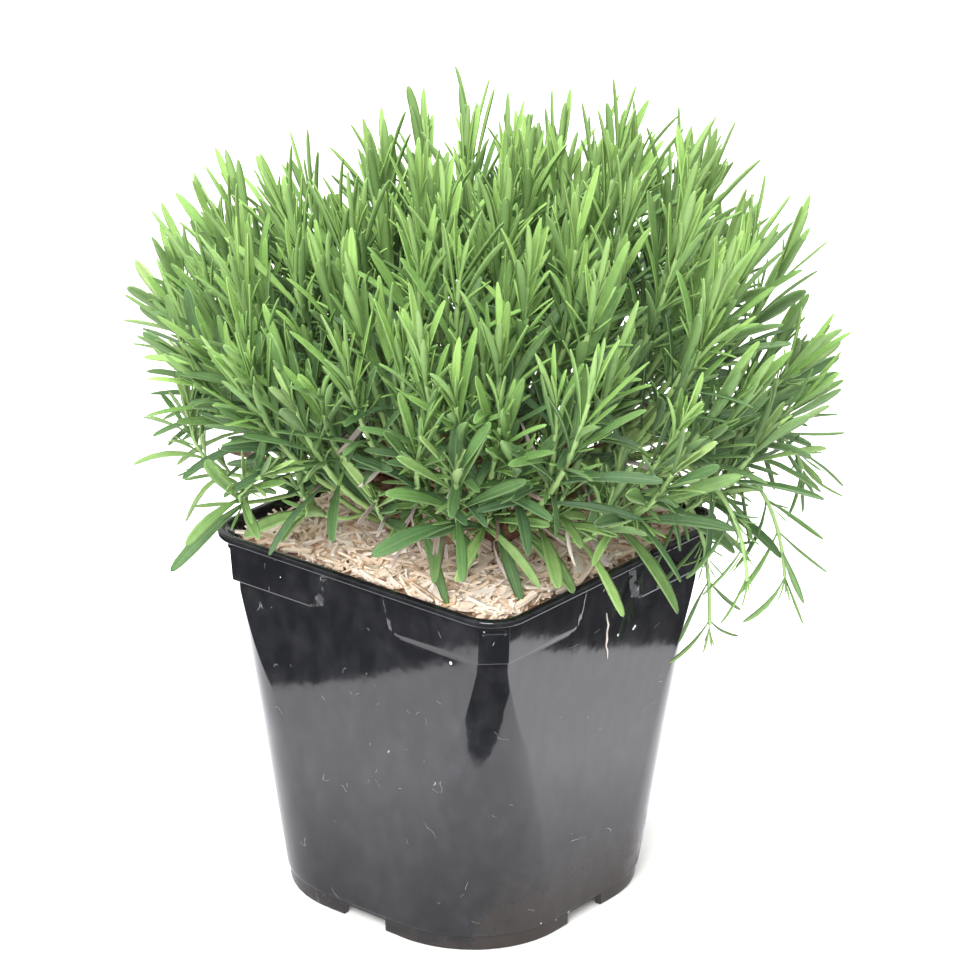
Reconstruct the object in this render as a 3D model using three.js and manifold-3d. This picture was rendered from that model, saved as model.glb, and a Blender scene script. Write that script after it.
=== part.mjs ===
// Potted lavender: a bushy young plant in a square nursery pot, as a scene graph of named solids.
//
// Units are millimetres and +Z is up. The origin is on the ground under the middle of the pot, the
// pot's walls face X and Y. The pot holds growing medium and a layer of wood mulch; three woody
// crowns stand in plain holes in both, and every leafy spray sits on a twig of one crown.

import * as THREE from "three";
import { mergeVertices } from "three/addons/utils/BufferGeometryUtils.js";
import Module from "manifold-3d";

const wasm = await Module();
wasm.setup();

const { lerp, clamp, degToRad } = THREE.MathUtils;
const UP = new THREE.Vector3(0, 0, 1);

// ---------------------------------------------------------------- driving dimensions

const CLEARANCE = 0.3; // gap that pieces resting on each other keep

// Pot. A corner is cut by a leg along both walls; its roundness is 0 for a flat cut, 1 for an arc.
const POT_HEIGHT = 154.3;
const WALL = 1.5;
const FLOOR = 2;
const FOOT_HEIGHT = 6.5;
const FOOT_HALF = 62.8;
const FOOT_LEG = 43;
const FOOT_RING = 3.2; // width of the ring that the pot stands on
const BODY_FOOT_HALF = 64;
const BODY_TOP_HALF = 69.2;
const BODY_TOP = 149; // height at which the wall has its top half width
const BODY_FOOT_LEG = 44;
const BODY_TOP_LEG = 8;
const ROUND_BELOW = 88; // corners are full arcs below this height
const FLAT_ABOVE = 130; // and flat cuts above this one
const INNER_HEIGHTS = [45, ROUND_BELOW, 109, FLAT_ABOVE]; // rings shared by the inside and its filling
const LIP_HALF = 75;
const LIP_LEG = 15.6;
const LIP_HEIGHT = 2.8;
const LIP_WIDTH = 2.4; // of its flat top
const COLLAR_BOTTOM = 134;
const COLLAR_HALF = 70.8;
const COLLAR_GAP_TOP = 15; // half width of the bare stretch between two corner panels
const COLLAR_GAP_BOTTOM = 21;
const NOTCH_WIDTH = 22;
const NOTCH_HEIGHT = 5;
const DRAIN_RADIUS = 4.5;
const DRAIN_OUT = [46, 50]; // distance from the axis of the holes on the walls' and corners' lines
const CORNER_STEPS = 5;

// Filling.
const MEDIUM_TOP = 138;
const MULCH_TOP = 149;
const CHIP_ROWS = 8;
const CHIP_PITCH = 15.6;
const CHIP_LENGTH = [15, 23];
const CHIP_WIDTH = [4.5, 8];
const CHIP_THICKNESS = 1.6;

// Plant. Heights are above the ground; radii are measured from the pot's axis.
const CANOPY_SHOOTS = 40;
const SKIRT_SHOOTS = 11;
const GOLDEN_ANGLE = Math.PI * (3 - Math.sqrt(5));
const LEAN_AZIMUTH = degToRad(38.5); // side on which the bush is fuller and taller
const CANOPY = {
  reach: 125, baseReach: 58, baseLow: 178, baseRise: 30,
  low: 232, rise: 58, lean: 16, back: 10, // height of the apexes, and its changes over the plan
  hump: 6, humpOffset: 19, humpSpread: 13.7,
};
const SKIRT = {
  reach: 114, lean: 6, apex: 205, baseReach: 50, baseHeight: 169,
  // Added where the bush leans away, to the apex, to the bend below it and to the base, and taken
  // from the reach of the bend.
  apexLift: 26, bendLift: 16, baseLift: 6, bendTuck: 10,
};
const CROWN_RADIUS = 26;
const CROWN_AZIMUTHS = [98.5, 218.5, 338.5].map(degToRad);
const TRUNK = { radius: 4, bottom: 116, top: 157, sides: 6 };
const LIMB_RADIUS = [2.7, 2];
const LIMBS_PER_CROWN = 3;
const TWIG_RADIUS = 1.3; // also the radius of a spray's foot
const STEM_TIP_RADIUS = 0.8;
const LEAF_LENGTH = 40;
const LEAF_SLENDERNESS = 7.4; // length over width, in the canopy
const LEAF_KEEL = 1.1; // thickness at the midrib
const NODE_HEIGHT = 1.9; // stretch of stem that a pair of leaves grows from
const OWN_CLEARANCE = 0.2; // between a blade and its own spray
const LEAF_CLEARANCE = 0.4; // between the leaves of two sprays
const PLAN_LIMIT = 139; // no leaf reaches further along X or Y

const MATERIALS = {
  pot: new THREE.MeshStandardMaterial({ color: 0x1d1e21, roughness: 0.28, metalness: 0 }),
  medium: new THREE.MeshStandardMaterial({ color: 0x3a2a1e, roughness: 1, metalness: 0 }),
  mulch: new THREE.MeshStandardMaterial({ color: 0xcfb48f, roughness: 0.9, metalness: 0 }),
  wood: new THREE.MeshStandardMaterial({ color: 0x6b4c3b, roughness: 0.9, metalness: 0 }),
  canopy: new THREE.MeshStandardMaterial({ color: 0x7fae4e, roughness: 0.55, metalness: 0 }),
  skirt: new THREE.MeshStandardMaterial({ color: 0x5d8f4a, roughness: 0.55, metalness: 0 }),
};

// ---------------------------------------------------------------- small tools

/** A number from 0 to 1 that depends only on the whole numbers given. */
function draw(...keys) {
  let hash = 20611;
  for (const key of keys) {
    hash = Math.imul(hash ^ (key + 0x9e3779b9), 0x85ebca6b);
    hash ^= hash >>> 13;
    hash = Math.imul(hash, 0xc2b2ae35);
    hash ^= hash >>> 16;
  }
  return (hash >>> 0) / 4294967296;
}

/** The same as draw, spread evenly from -1 to 1. */
const sway = (...keys) => 2 * draw(...keys) - 1;

/** A point at a height, a radius from the pot's axis and an azimuth from +X. */
const polar = (radius, azimuth, z) =>
  new THREE.Vector3(radius * Math.cos(azimuth), radius * Math.sin(azimuth), z);

/**
 * A closed skin over rings of equal length. Each ring turns anticlockwise about the direction of
 * travel. The first or last ring may be a single point; otherwise a flat fan closes the end.
 */
function loft(rings) {
  const starts = [];
  const points = [];
  for (const ring of rings) {
    starts.push(points.length);
    points.push(...ring);
  }
  const sides = Math.max(...rings.map((ring) => ring.length));
  const index = [];
  for (let r = 0; r + 1 < rings.length; r++) {
    const lower = (k) => starts[r] + (rings[r].length === 1 ? 0 : k % sides);
    const upper = (k) => starts[r + 1] + (rings[r + 1].length === 1 ? 0 : k % sides);
    for (let k = 0; k < sides; k++) {
      if (rings[r].length > 1) index.push(lower(k), lower(k + 1), upper(k));
      if (rings[r + 1].length > 1) index.push(lower(k + 1), upper(k + 1), upper(k));
    }
  }
  const last = rings.length - 1;
  for (let k = 1; k + 1 < sides; k++) {
    if (rings[0].length > 1) index.push(starts[0], starts[0] + k + 1, starts[0] + k);
    if (rings[last].length > 1) index.push(starts[last], starts[last] + k, starts[last] + k + 1);
  }
  const geometry = new THREE.BufferGeometry().setFromPoints(points);
  geometry.setIndex(index);
  return geometry;
}

/** The manifold solid inside a closed geometry. */
function solid(geometry) {
  const bare = geometry.clone();
  bare.deleteAttribute("normal");
  bare.deleteAttribute("uv");
  const merged = mergeVertices(bare, 1e-5);
  return new wasm.Manifold(
    new wasm.Mesh({
      numProp: 3,
      vertProperties: new Float32Array(merged.attributes.position.array),
      triVerts: new Uint32Array(merged.index.array),
    }),
  );
}

const join = (solids) => solids.reduce((whole, piece) => whole.add(piece));

/** The biggest body of a solid, without the loose scraps that a cut can leave. */
const largest = (body) => body.decompose().reduce((a, b) => (a.volume() > b.volume() ? a : b));

/** The skin of a manifold solid. */
function skinOf(body) {
  const { vertProperties, triVerts } = body.getMesh();
  const geometry = new THREE.BufferGeometry();
  geometry.setAttribute("position", new THREE.BufferAttribute(vertProperties, 3));
  geometry.setIndex(new THREE.BufferAttribute(triVerts, 1));
  geometry.computeVertexNormals();
  return geometry;
}

// ---------------------------------------------------------------- pot

/** One turn round a square of the given half width, with its corners cut by a leg. */
function squareRing(half, leg, roundness, z) {
  const points = [];
  for (let corner = 0; corner < 4; corner++) {
    for (let step = 0; step <= CORNER_STEPS; step++) {
      const t = step / CORNER_STEPS;
      const x = half - leg + leg * lerp(1 - t, Math.cos((t * Math.PI) / 2), roundness);
      const y = half - leg + leg * lerp(t, Math.sin((t * Math.PI) / 2), roundness);
      points.push(new THREE.Vector3(x, y, z).applyAxisAngle(UP, (corner * Math.PI) / 2));
    }
  }
  return points;
}

/** Half width of the pot's tapering wall at a height. */
const wallHalf = (z) => lerp(BODY_FOOT_HALF, BODY_TOP_HALF, (z - FOOT_HEIGHT) / (BODY_TOP - FOOT_HEIGHT));

/** How far a corner's middle stays inside the meeting of its walls, per unit of its leg. */
const cornerCut = (roundness) => lerp(Math.SQRT1_2, Math.SQRT2 - 1, roundness);

/**
 * A ring on the pot's tapering wall, a distance inside its outer face. The leg of the corners is the
 * one that makes the line down the middle of each corner straight from its foot to the flat cut.
 */
function wallRing(z, inset = 0) {
  const roundness = 1 - clamp((z - ROUND_BELOW) / (FLAT_ABOVE - ROUND_BELOW), 0, 1);
  const middleAt = (height, leg, round) => Math.SQRT2 * wallHalf(height) - leg * cornerCut(round);
  const middle = lerp(
    middleAt(FOOT_HEIGHT, BODY_FOOT_LEG, 1),
    middleAt(FLAT_ABOVE, BODY_TOP_LEG, 0),
    (z - FOOT_HEIGHT) / (FLAT_ABOVE - FOOT_HEIGHT),
  );
  const leg = z < FLAT_ABOVE ? (Math.SQRT2 * wallHalf(z) - middle) / cornerCut(roundness) : BODY_TOP_LEG;
  return squareRing(wallHalf(z) - inset, leg - inset * lerp(2 - Math.SQRT2, 1, roundness), roundness, z);
}

/** The prism that clears the bare stretch between two corner panels, for the wall that faces -Y. */
function collarGap() {
  const outline = new THREE.Shape();
  outline.moveTo(-COLLAR_GAP_TOP, POT_HEIGHT);
  outline.lineTo(-COLLAR_GAP_TOP, COLLAR_BOTTOM + 6);
  outline.quadraticCurveTo(-COLLAR_GAP_TOP - 1, COLLAR_BOTTOM + 1.5, -COLLAR_GAP_BOTTOM, COLLAR_BOTTOM - 1);
  outline.lineTo(COLLAR_GAP_BOTTOM, COLLAR_BOTTOM - 1);
  outline.quadraticCurveTo(COLLAR_GAP_TOP + 1, COLLAR_BOTTOM + 1.5, COLLAR_GAP_TOP, COLLAR_BOTTOM + 6);
  outline.lineTo(COLLAR_GAP_TOP, POT_HEIGHT);
  const prism = new THREE.ExtrudeGeometry(outline, { depth: LIP_HALF, bevelEnabled: false, curveSegments: 3 });
  return prism.rotateX(Math.PI / 2).translate(0, -COLLAR_GAP_TOP, 0);
}

function makePot() {
  const lipBottom = POT_HEIGHT - LIP_HEIGHT;
  const foot = loft([
    squareRing(FOOT_HALF - 0.6, FOOT_LEG, 1, 0),
    squareRing(FOOT_HALF, FOOT_LEG, 1, 0.8),
    squareRing(FOOT_HALF, FOOT_LEG, 1, FOOT_HEIGHT + 1),
  ]);
  const body = loft([
    squareRing(BODY_FOOT_HALF - 1.2, BODY_FOOT_LEG, 1, FOOT_HEIGHT),
    ...[FOOT_HEIGHT + 1.5, 35, 62, ROUND_BELOW, 102, 116, FLAT_ABOVE, BODY_TOP + 1].map((z) => wallRing(z)),
  ]);
  const collar = loft([
    squareRing(COLLAR_HALF - 2.8, BODY_TOP_LEG, 0, COLLAR_BOTTOM),
    squareRing(COLLAR_HALF, BODY_TOP_LEG, 0, COLLAR_BOTTOM + 1.3),
    squareRing(COLLAR_HALF + 0.7, BODY_TOP_LEG, 0, lipBottom + 0.2),
  ]);
  const lip = loft([
    squareRing(BODY_TOP_HALF - 0.6, BODY_TOP_LEG, 0, lipBottom - 1.2),
    squareRing(BODY_TOP_HALF + 1.2, BODY_TOP_LEG + 1, 0.3, lipBottom - 0.3),
    squareRing(LIP_HALF - 0.7, LIP_LEG - 0.5, 1, lipBottom),
    squareRing(LIP_HALF, LIP_LEG, 1, lipBottom + 0.6),
    squareRing(LIP_HALF, LIP_LEG, 1, POT_HEIGHT - 0.9),
    squareRing(LIP_HALF - 0.3, LIP_LEG, 1, POT_HEIGHT - 0.3),
    squareRing(LIP_HALF - 0.9, LIP_LEG - 0.6, 1, POT_HEIGHT),
  ]);
  const inside = loft([
    ...[FOOT_HEIGHT + FLOOR, ...INNER_HEIGHTS, lipBottom - 1].map((z) => wallRing(z, WALL)),
    squareRing(LIP_HALF - 0.9 - LIP_WIDTH, LIP_LEG - 3, 1, POT_HEIGHT + 0.01),
    squareRing(LIP_HALF - 0.9 - LIP_WIDTH, LIP_LEG - 3, 1, POT_HEIGHT + 1),
  ]);
  const underFloor = loft([
    squareRing(FOOT_HALF - FOOT_RING, FOOT_LEG - FOOT_RING, 1, -1),
    squareRing(FOOT_HALF - FOOT_RING, FOOT_LEG - FOOT_RING, 1, FOOT_HEIGHT),
  ]);

  let panels = solid(collar);
  let pot = solid(foot).add(solid(body)).add(solid(lip));
  const cuts = [solid(inside), solid(underFloor)];
  for (let side = 0; side < 4; side++) {
    const turn = (side * Math.PI) / 2;
    panels = panels.subtract(solid(collarGap().rotateZ(turn)));
    const notch = new THREE.BoxGeometry(NOTCH_WIDTH, 4 * FOOT_RING, 2 * NOTCH_HEIGHT);
    cuts.push(solid(notch.translate(0, -FOOT_HALF, 0).rotateZ(turn)));
    DRAIN_OUT.forEach((distance, onCorner) => {
      const drill = new THREE.CylinderGeometry(DRAIN_RADIUS, DRAIN_RADIUS, 3 * FLOOR, 8).rotateX(Math.PI / 2);
      drill.translate(distance, 0, FOOT_HEIGHT + FLOOR / 2).rotateZ(turn + (onCorner * Math.PI) / 4);
      cuts.push(solid(drill));
    });
  }
  return pot.add(panels).subtract(join(cuts));
}

// ---------------------------------------------------------------- filling

/** The plain holes that the trunks stand in, through the whole filling. */
function trunkHoles() {
  return join(
    CROWN_AZIMUTHS.map((azimuth) => {
      const middle = polar(CROWN_RADIUS, azimuth, 0);
      const hole = (z) => circleRing(middle.clone().setZ(z), TRUNK.radius + 0.4, TRUNK.sides);
      return solid(loft([hole(TRUNK.bottom - CLEARANCE), hole(POT_HEIGHT)]));
    }),
  );
}

/** A level ring about a point. */
function circleRing(middle, radius, sides) {
  return Array.from({ length: sides }, (_, k) => {
    const spoke = polar(radius, (k * 2 * Math.PI) / sides, 0);
    return spoke.add(middle);
  });
}

function makeMedium() {
  const heights = [FOOT_HEIGHT + FLOOR + CLEARANCE, ...INNER_HEIGHTS, MEDIUM_TOP];
  return solid(loft(heights.map((z) => wallRing(z, WALL + CLEARANCE)))).subtract(trunkHoles());
}

/** A shaving: a thin sliver with a flat face up and its keel sunk in what it lies on. */
function chip(row, column) {
  const key = row * CHIP_ROWS + column;
  const length = lerp(...CHIP_LENGTH, draw(key, 1)) / 2;
  const width = lerp(...CHIP_WIDTH, draw(key, 2)) / 2;
  const taper = lerp(0.35, 0.8, draw(key, 3));
  const top = [
    [-length, -width * taper],
    [length * 0.9, -width],
    [length, width * taper],
    [-length * 0.85, width],
  ].map(([x, y]) => new THREE.Vector3(x, y, 0));
  const keel = [-0.7 * length, 0.7 * length].map((x) => new THREE.Vector3(x, 0, -2 * CHIP_THICKNESS));
  const geometry = new THREE.BufferGeometry().setFromPoints([...top, ...keel]);
  geometry.setIndex([0, 1, 2, 0, 2, 3, 0, 4, 5, 0, 5, 1, 2, 5, 4, 2, 4, 3, 1, 5, 2, 3, 4, 0]);
  const at = (n, channel) => (n - (CHIP_ROWS - 1) / 2) * CHIP_PITCH + 4 * sway(key, channel);
  geometry.rotateX(0.22 * sway(key, 4)).rotateY(0.12 * sway(key, 5)).rotateZ(Math.PI * draw(key, 6));
  return geometry.translate(at(column, 7), at(row, 8), MULCH_TOP + 0.6 + 1.3 * draw(key, 9));
}

function makeMulch() {
  const floor = MEDIUM_TOP + CLEARANCE;
  const bed = solid(loft([floor, MULCH_TOP].map((z) => wallRing(z, WALL + CLEARANCE))));
  const chips = [];
  for (let row = 0; row < CHIP_ROWS; row++) {
    for (let column = 0; column < CHIP_ROWS; column++) chips.push(solid(chip(row, column)));
  }
  const room = solid(loft([floor, POT_HEIGHT - 1].map((z) => wallRing(z, WALL + CLEARANCE))));
  return largest(join([bed, ...chips]).intersect(room).subtract(trunkHoles()));
}

// ---------------------------------------------------------------- axes of the shoots

/** Height of the bush: a flat dome that leans to one side, is lower at its back and has two humps. */
function domeHeight(rho, azimuth) {
  const across = rho * Math.cos(azimuth - LEAN_AZIMUTH);
  const back = rho * Math.max(0, Math.sin(azimuth - LEAN_AZIMUTH));
  const hump = Math.cos((CANOPY.reach * across + CANOPY.humpOffset) / CANOPY.humpSpread);
  const dome = CANOPY.rise * Math.sqrt(1 - rho ** 4);
  return CANOPY.low + dome + CANOPY.lean * across - CANOPY.back * back + CANOPY.hump * hump;
}

/** Canopy shoots fill a dome evenly; outer ones grow outwards first and then turn up. */
function canopyShoot(i) {
  const rho = Math.sqrt((i + 0.5) / CANOPY_SHOOTS);
  const azimuth = i * GOLDEN_ANGLE + 0.1 * sway(i, 11);
  const apexZ = domeHeight(rho, azimuth) + 8 * sway(i, 12);
  const base = polar(CANOPY.baseReach * rho, azimuth, CANOPY.baseLow + CANOPY.baseRise * (1 - rho));
  const apex = polar(CANOPY.reach * rho, azimuth + 0.12 * sway(i, 13), apexZ);
  const control = base.clone().lerp(apex, 0.5);
  control.add(polar(14 * rho, azimuth, -12 * rho));
  return { id: i, azimuth, base, control, apex, levels: rho < 0.55 ? 4 : 5, low: false };
}

/** Skirt shoots come from low in the crown, pass over the pot's lip and turn up beyond it. */
function skirtShoot(j) {
  const i = CANOPY_SHOOTS + j;
  const azimuth = ((j + 0.5 + 0.25 * sway(i, 14)) * 2 * Math.PI) / SKIRT_SHOOTS;
  const lean = Math.cos(azimuth - LEAN_AZIMUTH);
  const away = (1 - lean) / 2;
  const reach = SKIRT.reach + SKIRT.lean * lean;
  const base = polar(SKIRT.baseReach, azimuth, SKIRT.baseHeight + SKIRT.baseLift * away);
  const apexZ = SKIRT.apex + SKIRT.apexLift * away + 8 * sway(i, 17);
  const apex = polar(reach + 7 * sway(i, 15), azimuth + 0.1 * sway(i, 16), apexZ);
  const bendZ = SKIRT.baseHeight + 6 + SKIRT.bendLift * away;
  const control = polar(reach - 16 - SKIRT.bendTuck * away, azimuth, bendZ);
  return { id: i, azimuth, base, control, apex, levels: 4, low: true };
}

/** One thin sprig climbs over the lip and hangs down beside the wall. */
function hangingShoot() {
  const azimuth = degToRad(27);
  const base = polar(50, azimuth, 172);
  const control = polar(97, azimuth, 200);
  const apex = polar(98, azimuth, 120);
  return { id: CANOPY_SHOOTS + SKIRT_SHOOTS, azimuth, base, control, apex, levels: 4, low: true, thin: true };
}

/** The frame of a shoot at a fraction of its length: place, direction of growth and two sides. */
function frameAt(shoot, u) {
  const place = shoot.curve.getPoint(u);
  const along = shoot.curve.getTangent(u);
  const sideways = new THREE.Vector3(-Math.sin(shoot.azimuth), Math.cos(shoot.azimuth), 0);
  const first = sideways.addScaledVector(along, -sideways.dot(along)).normalize();
  const second = new THREE.Vector3().crossVectors(along, first);
  return { place, along, first, second };
}

/** A ring of corners round a shoot's axis; it turns anticlockwise about the direction of growth. */
function axisRing(shoot, u, radius, sides) {
  const { place, first, second } = frameAt(shoot, u);
  return Array.from({ length: sides }, (_, k) => {
    const turn = shoot.turn + ((k + 0.5) * 2 * Math.PI) / sides;
    const point = place.clone().addScaledVector(first, radius * Math.cos(turn));
    return point.addScaledVector(second, radius * Math.sin(turn));
  });
}

/** A tube with flat ends along a curve, with its radius changing evenly. */
function tube(curve, startRadius, endRadius, sides, steps, azimuth) {
  const axis = { curve, azimuth, turn: 0 };
  const rings = Array.from({ length: steps + 1 }, (_, step) => {
    const u = step / steps;
    return axisRing(axis, u, lerp(startRadius, endRadius, u), sides);
  });
  return loft(rings);
}

const shoots = [];
for (let i = 0; i < CANOPY_SHOOTS; i++) shoots.push(canopyShoot(i));
for (let j = 0; j < SKIRT_SHOOTS; j++) shoots.push(skirtShoot(j));
shoots.push(hangingShoot());
for (const shoot of shoots) {
  const start = new THREE.QuadraticBezierCurve3(shoot.base, shoot.control, shoot.apex).getTangent(0);
  const foot = shoot.base.clone().addScaledVector(start, CLEARANCE);
  shoot.curve = new THREE.QuadraticBezierCurve3(foot, shoot.control, shoot.apex);
  shoot.turn = 2 * Math.PI * draw(shoot.id, 22);
}

// ---------------------------------------------------------------- woody crowns

const angleBetween = (a, b) => Math.abs(Math.atan2(Math.sin(a - b), Math.cos(a - b)));

/** One rooted crown: a trunk, limbs that fork, and a twig to each of its shoots. */
function makeCrown(crown) {
  const azimuth = CROWN_AZIMUTHS[crown];
  const root = (z) => polar(CROWN_RADIUS, azimuth, z);
  const own = shoots.filter((shoot) => shoot.crown === crown);
  const pieces = [
    solid(loft([
      circleRing(root(TRUNK.bottom), TRUNK.radius * 0.7, TRUNK.sides),
      circleRing(root(TRUNK.bottom + 12), TRUNK.radius, TRUNK.sides),
      circleRing(root(TRUNK.top), TRUNK.radius * 0.85, TRUNK.sides),
    ])),
  ];
  const addTwig = (shoot, start) => {
    const reach = start.distanceTo(shoot.base);
    const control = shoot.base.clone().addScaledVector(shoot.curve.getTangent(0), -0.45 * reach);
    const curve = new THREE.QuadraticBezierCurve3(start, control, shoot.base);
    pieces.push(solid(tube(curve, LIMB_RADIUS[1] * 0.85, TWIG_RADIUS, 4, 2, shoot.azimuth)));
  };
  const high = own.filter((shoot) => !shoot.low);
  high.sort((a, b) => bearing(a, azimuth) - bearing(b, azimuth));
  const share = Math.ceil(high.length / LIMBS_PER_CROWN);
  for (let limb = 0; limb < LIMBS_PER_CROWN; limb++) {
    const group = high.slice(limb * share, (limb + 1) * share);
    const fork = new THREE.Vector3();
    group.forEach((shoot) => fork.addScaledVector(shoot.base, 1 / group.length));
    fork.lerpVectors(root(TRUNK.top), fork, 0.5);
    const curve = new THREE.QuadraticBezierCurve3(root(TRUNK.top - 6), root(TRUNK.top + 4), fork);
    pieces.push(solid(tube(curve, ...LIMB_RADIUS, 5, 3, azimuth)));
    const start = curve.getPoint(0.96);
    group.forEach((shoot) => addTwig(shoot, start));
  }
  own.filter((shoot) => shoot.low).forEach((shoot) => addTwig(shoot, root(TRUNK.top - 2)));
  return join(pieces);
}

/** Direction of a shoot's foot seen from its crown's middle, turning from the crown's own azimuth. */
function bearing(shoot, azimuth) {
  const away = shoot.base.clone().sub(polar(CROWN_RADIUS, azimuth, 0));
  const turn = Math.atan2(away.y, away.x) - azimuth;
  return Math.atan2(Math.sin(turn), Math.cos(turn));
}

for (const shoot of shoots) {
  const distances = CROWN_AZIMUTHS.map((azimuth) => angleBetween(azimuth, shoot.azimuth));
  shoot.crown = distances.indexOf(Math.min(...distances));
}

// ---------------------------------------------------------------- leaves

// Per pair of leaves, from the top of the shoot down: place on the stem, length, opening from the
// stem in degrees, bend away from it, and droop under the leaf's own weight.
const PAIRS = [
  { u: 0.985, length: 0.8, open: 8, bend: 0.03, droop: 0 },
  { u: 0.86, length: 0.94, open: 15, bend: 0.06, droop: 0.01 },
  { u: 0.7, length: 1.0, open: 23, bend: 0.1, droop: 0.04 },
  { u: 0.52, length: 1.0, open: 33, bend: 0.14, droop: 0.09 },
  { u: 0.32, length: 0.9, open: 48, bend: 0.16, droop: 0.16 },
];
// Half width, as a share of the widest, along the blade to its tip.
const BLADE = [
  [0.32, 0.88],
  [0.74, 1],
  [1, 0],
];

/** Where a pair grows, as a fraction of the stem's length. */
const pairHeight = (shoot, pair) => PAIRS[pair].u + 0.02 * sway(shoot.id, pair, 21);

/** The nominal leaf of a shoot: pair number from the top, and side 0 or 1 of the pair. */
function nominalLeaf(shoot, pair, side) {
  const shape = PAIRS[pair];
  const key = [shoot.id, pair, side];
  const face = (pair % 2) + 2 * side;
  return {
    pair,
    face,
    turn: shoot.turn + (face * Math.PI) / 2 + 0.25 * sway(...key, 23),
    length: LEAF_LENGTH * (shoot.thin ? 0.6 : 1) * shape.length * (1 + 0.1 * sway(...key, 24)),
    open: degToRad(shape.open + (shoot.low ? 12 : 0) + 8 * sway(...key, 25)),
    bend: shape.bend + 0.06 * sway(...key, 26),
    droop: shape.droop * (shoot.low ? 1.6 : 1),
    slenderness: LEAF_SLENDERNESS * (shoot.thin ? 1.3 : shoot.low ? 0.84 : 1),
  };
}

/** The two rings of the stem between which a pair grows. */
function nodeRings(shoot, pair) {
  const half = NODE_HEIGHT / 2 / shoot.curve.getLength();
  const middle = pairHeight(shoot, pair);
  return [middle - half, middle + half].map((u) => stemRing(shoot, u));
}

const stemRing = (shoot, u) => axisRing(shoot, u, lerp(TWIG_RADIUS, STEM_TIP_RADIUS, u), 4);

/** The keeled sections of a blade and its tip. Each section is keel, left edge, right edge. */
function bladeRings(shoot, leaf) {
  const { place, along, first, second } = frameAt(shoot, pairHeight(shoot, leaf.pair));
  const side = first.multiplyScalar(Math.cos(leaf.turn)).addScaledVector(second, Math.sin(leaf.turn));
  const heading = along.clone().multiplyScalar(Math.cos(leaf.open)).addScaledVector(side, Math.sin(leaf.open));
  const under = side.clone().multiplyScalar(Math.cos(leaf.open)).addScaledVector(along, -Math.sin(leaf.open));
  const across = new THREE.Vector3().crossVectors(heading, under);
  return BLADE.map(([s, share]) => {
    const rib = place.clone().addScaledVector(heading, leaf.length * s);
    rib.addScaledVector(under, leaf.bend * leaf.length * s * s);
    rib.addScaledVector(UP, -leaf.droop * leaf.length * s * s);
    if (share === 0) return [rib];
    const halfWidth = (share * leaf.length) / leaf.slenderness / 2;
    return [
      rib.clone().addScaledVector(under, LEAF_KEEL),
      rib.clone().addScaledVector(across, halfWidth),
      rib.clone().addScaledVector(across, -halfWidth),
    ];
  });
}

/** The corners of the stem's face that a leaf grows from, seen from outside: lower two, upper two. */
function leafSocket(leaf, [lower, upper]) {
  const before = (leaf.face + 3) % 4;
  return [lower[before], lower[leaf.face], upper[leaf.face], upper[before]];
}

/** One closed skin over a stem and its leaves, each leaf drawn out of a face of the square stem. */
function sprayGeometry(shoot) {
  const points = [];
  const index = [];
  const add = (ring) => ring.map((point) => points.push(point) - 1);
  const quad = (a, b, c, d) => index.push(a, b, c, a, c, d);
  const band = (lower, upper) =>
    lower.forEach((corner, k) => {
      const next = (k + 1) % lower.length;
      quad(corner, lower[next], upper[next], upper[k]);
    });
  const foot = add(stemRing(shoot, 0));
  let below = foot;
  for (let pair = shoot.levels - 1; pair >= 0; pair--) {
    const [lower, upper] = nodeRings(shoot, pair).map(add);
    band(below, lower);
    for (let face = 0; face < 4; face++) {
      const leaf = shoot.leaves.find((grown) => grown.pair === pair && grown.face === face);
      const [a, b, c, d] = leafSocket({ face }, [lower, upper]);
      if (!leaf) {
        quad(a, b, c, d);
        continue;
      }
      const [narrow, wide, [tip]] = leaf.rings.map(add);
      const [keel, left, right] = narrow;
      index.push(a, b, keel);
      quad(b, c, left, keel);
      quad(c, d, right, left);
      quad(d, a, keel, right);
      band(narrow, wide);
      wide.forEach((corner, k) => index.push(corner, wide[(k + 1) % 3], tip));
    }
    below = upper;
  }
  quad(foot[3], foot[2], foot[1], foot[0]);
  quad(...below);
  const geometry = new THREE.BufferGeometry().setFromPoints(points);
  geometry.setIndex(index);
  geometry.computeVertexNormals();
  return geometry;
}

/** What a leaf may do to clear its neighbours, in the order in which it is tried. */
const ADJUSTMENTS = [
  { turn: 0, open: 1, length: 1 },
  { turn: 0.3, open: 1, length: 1 },
  { turn: -0.3, open: 1, length: 1 },
  { turn: 0, open: 0.7, length: 1 },
  { turn: 0, open: 1.3, length: 1 },
  { turn: 0.55, open: 0.85, length: 1 },
  { turn: -0.55, open: 0.85, length: 1 },
  { turn: 0, open: 1, length: 0.75 },
  { turn: 0.3, open: 0.75, length: 0.75 },
  { turn: -0.3, open: 0.75, length: 0.75 },
  { turn: 0.3, open: 1.25, length: 0.75 },
  { turn: -0.3, open: 1.25, length: 0.75 },
];

/** A solid with the box round it, grown by half the clearance so that touching boxes mean a test. */
function boxed(geometry) {
  geometry.computeBoundingBox();
  return { body: solid(geometry), box: geometry.boundingBox.clone().expandByScalar(LEAF_CLEARANCE / 2) };
}

const isClear = (one, other, clearance) =>
  !one.box.intersectsBox(other.box) || one.body.minGap(other.body, clearance) >= clearance;

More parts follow.
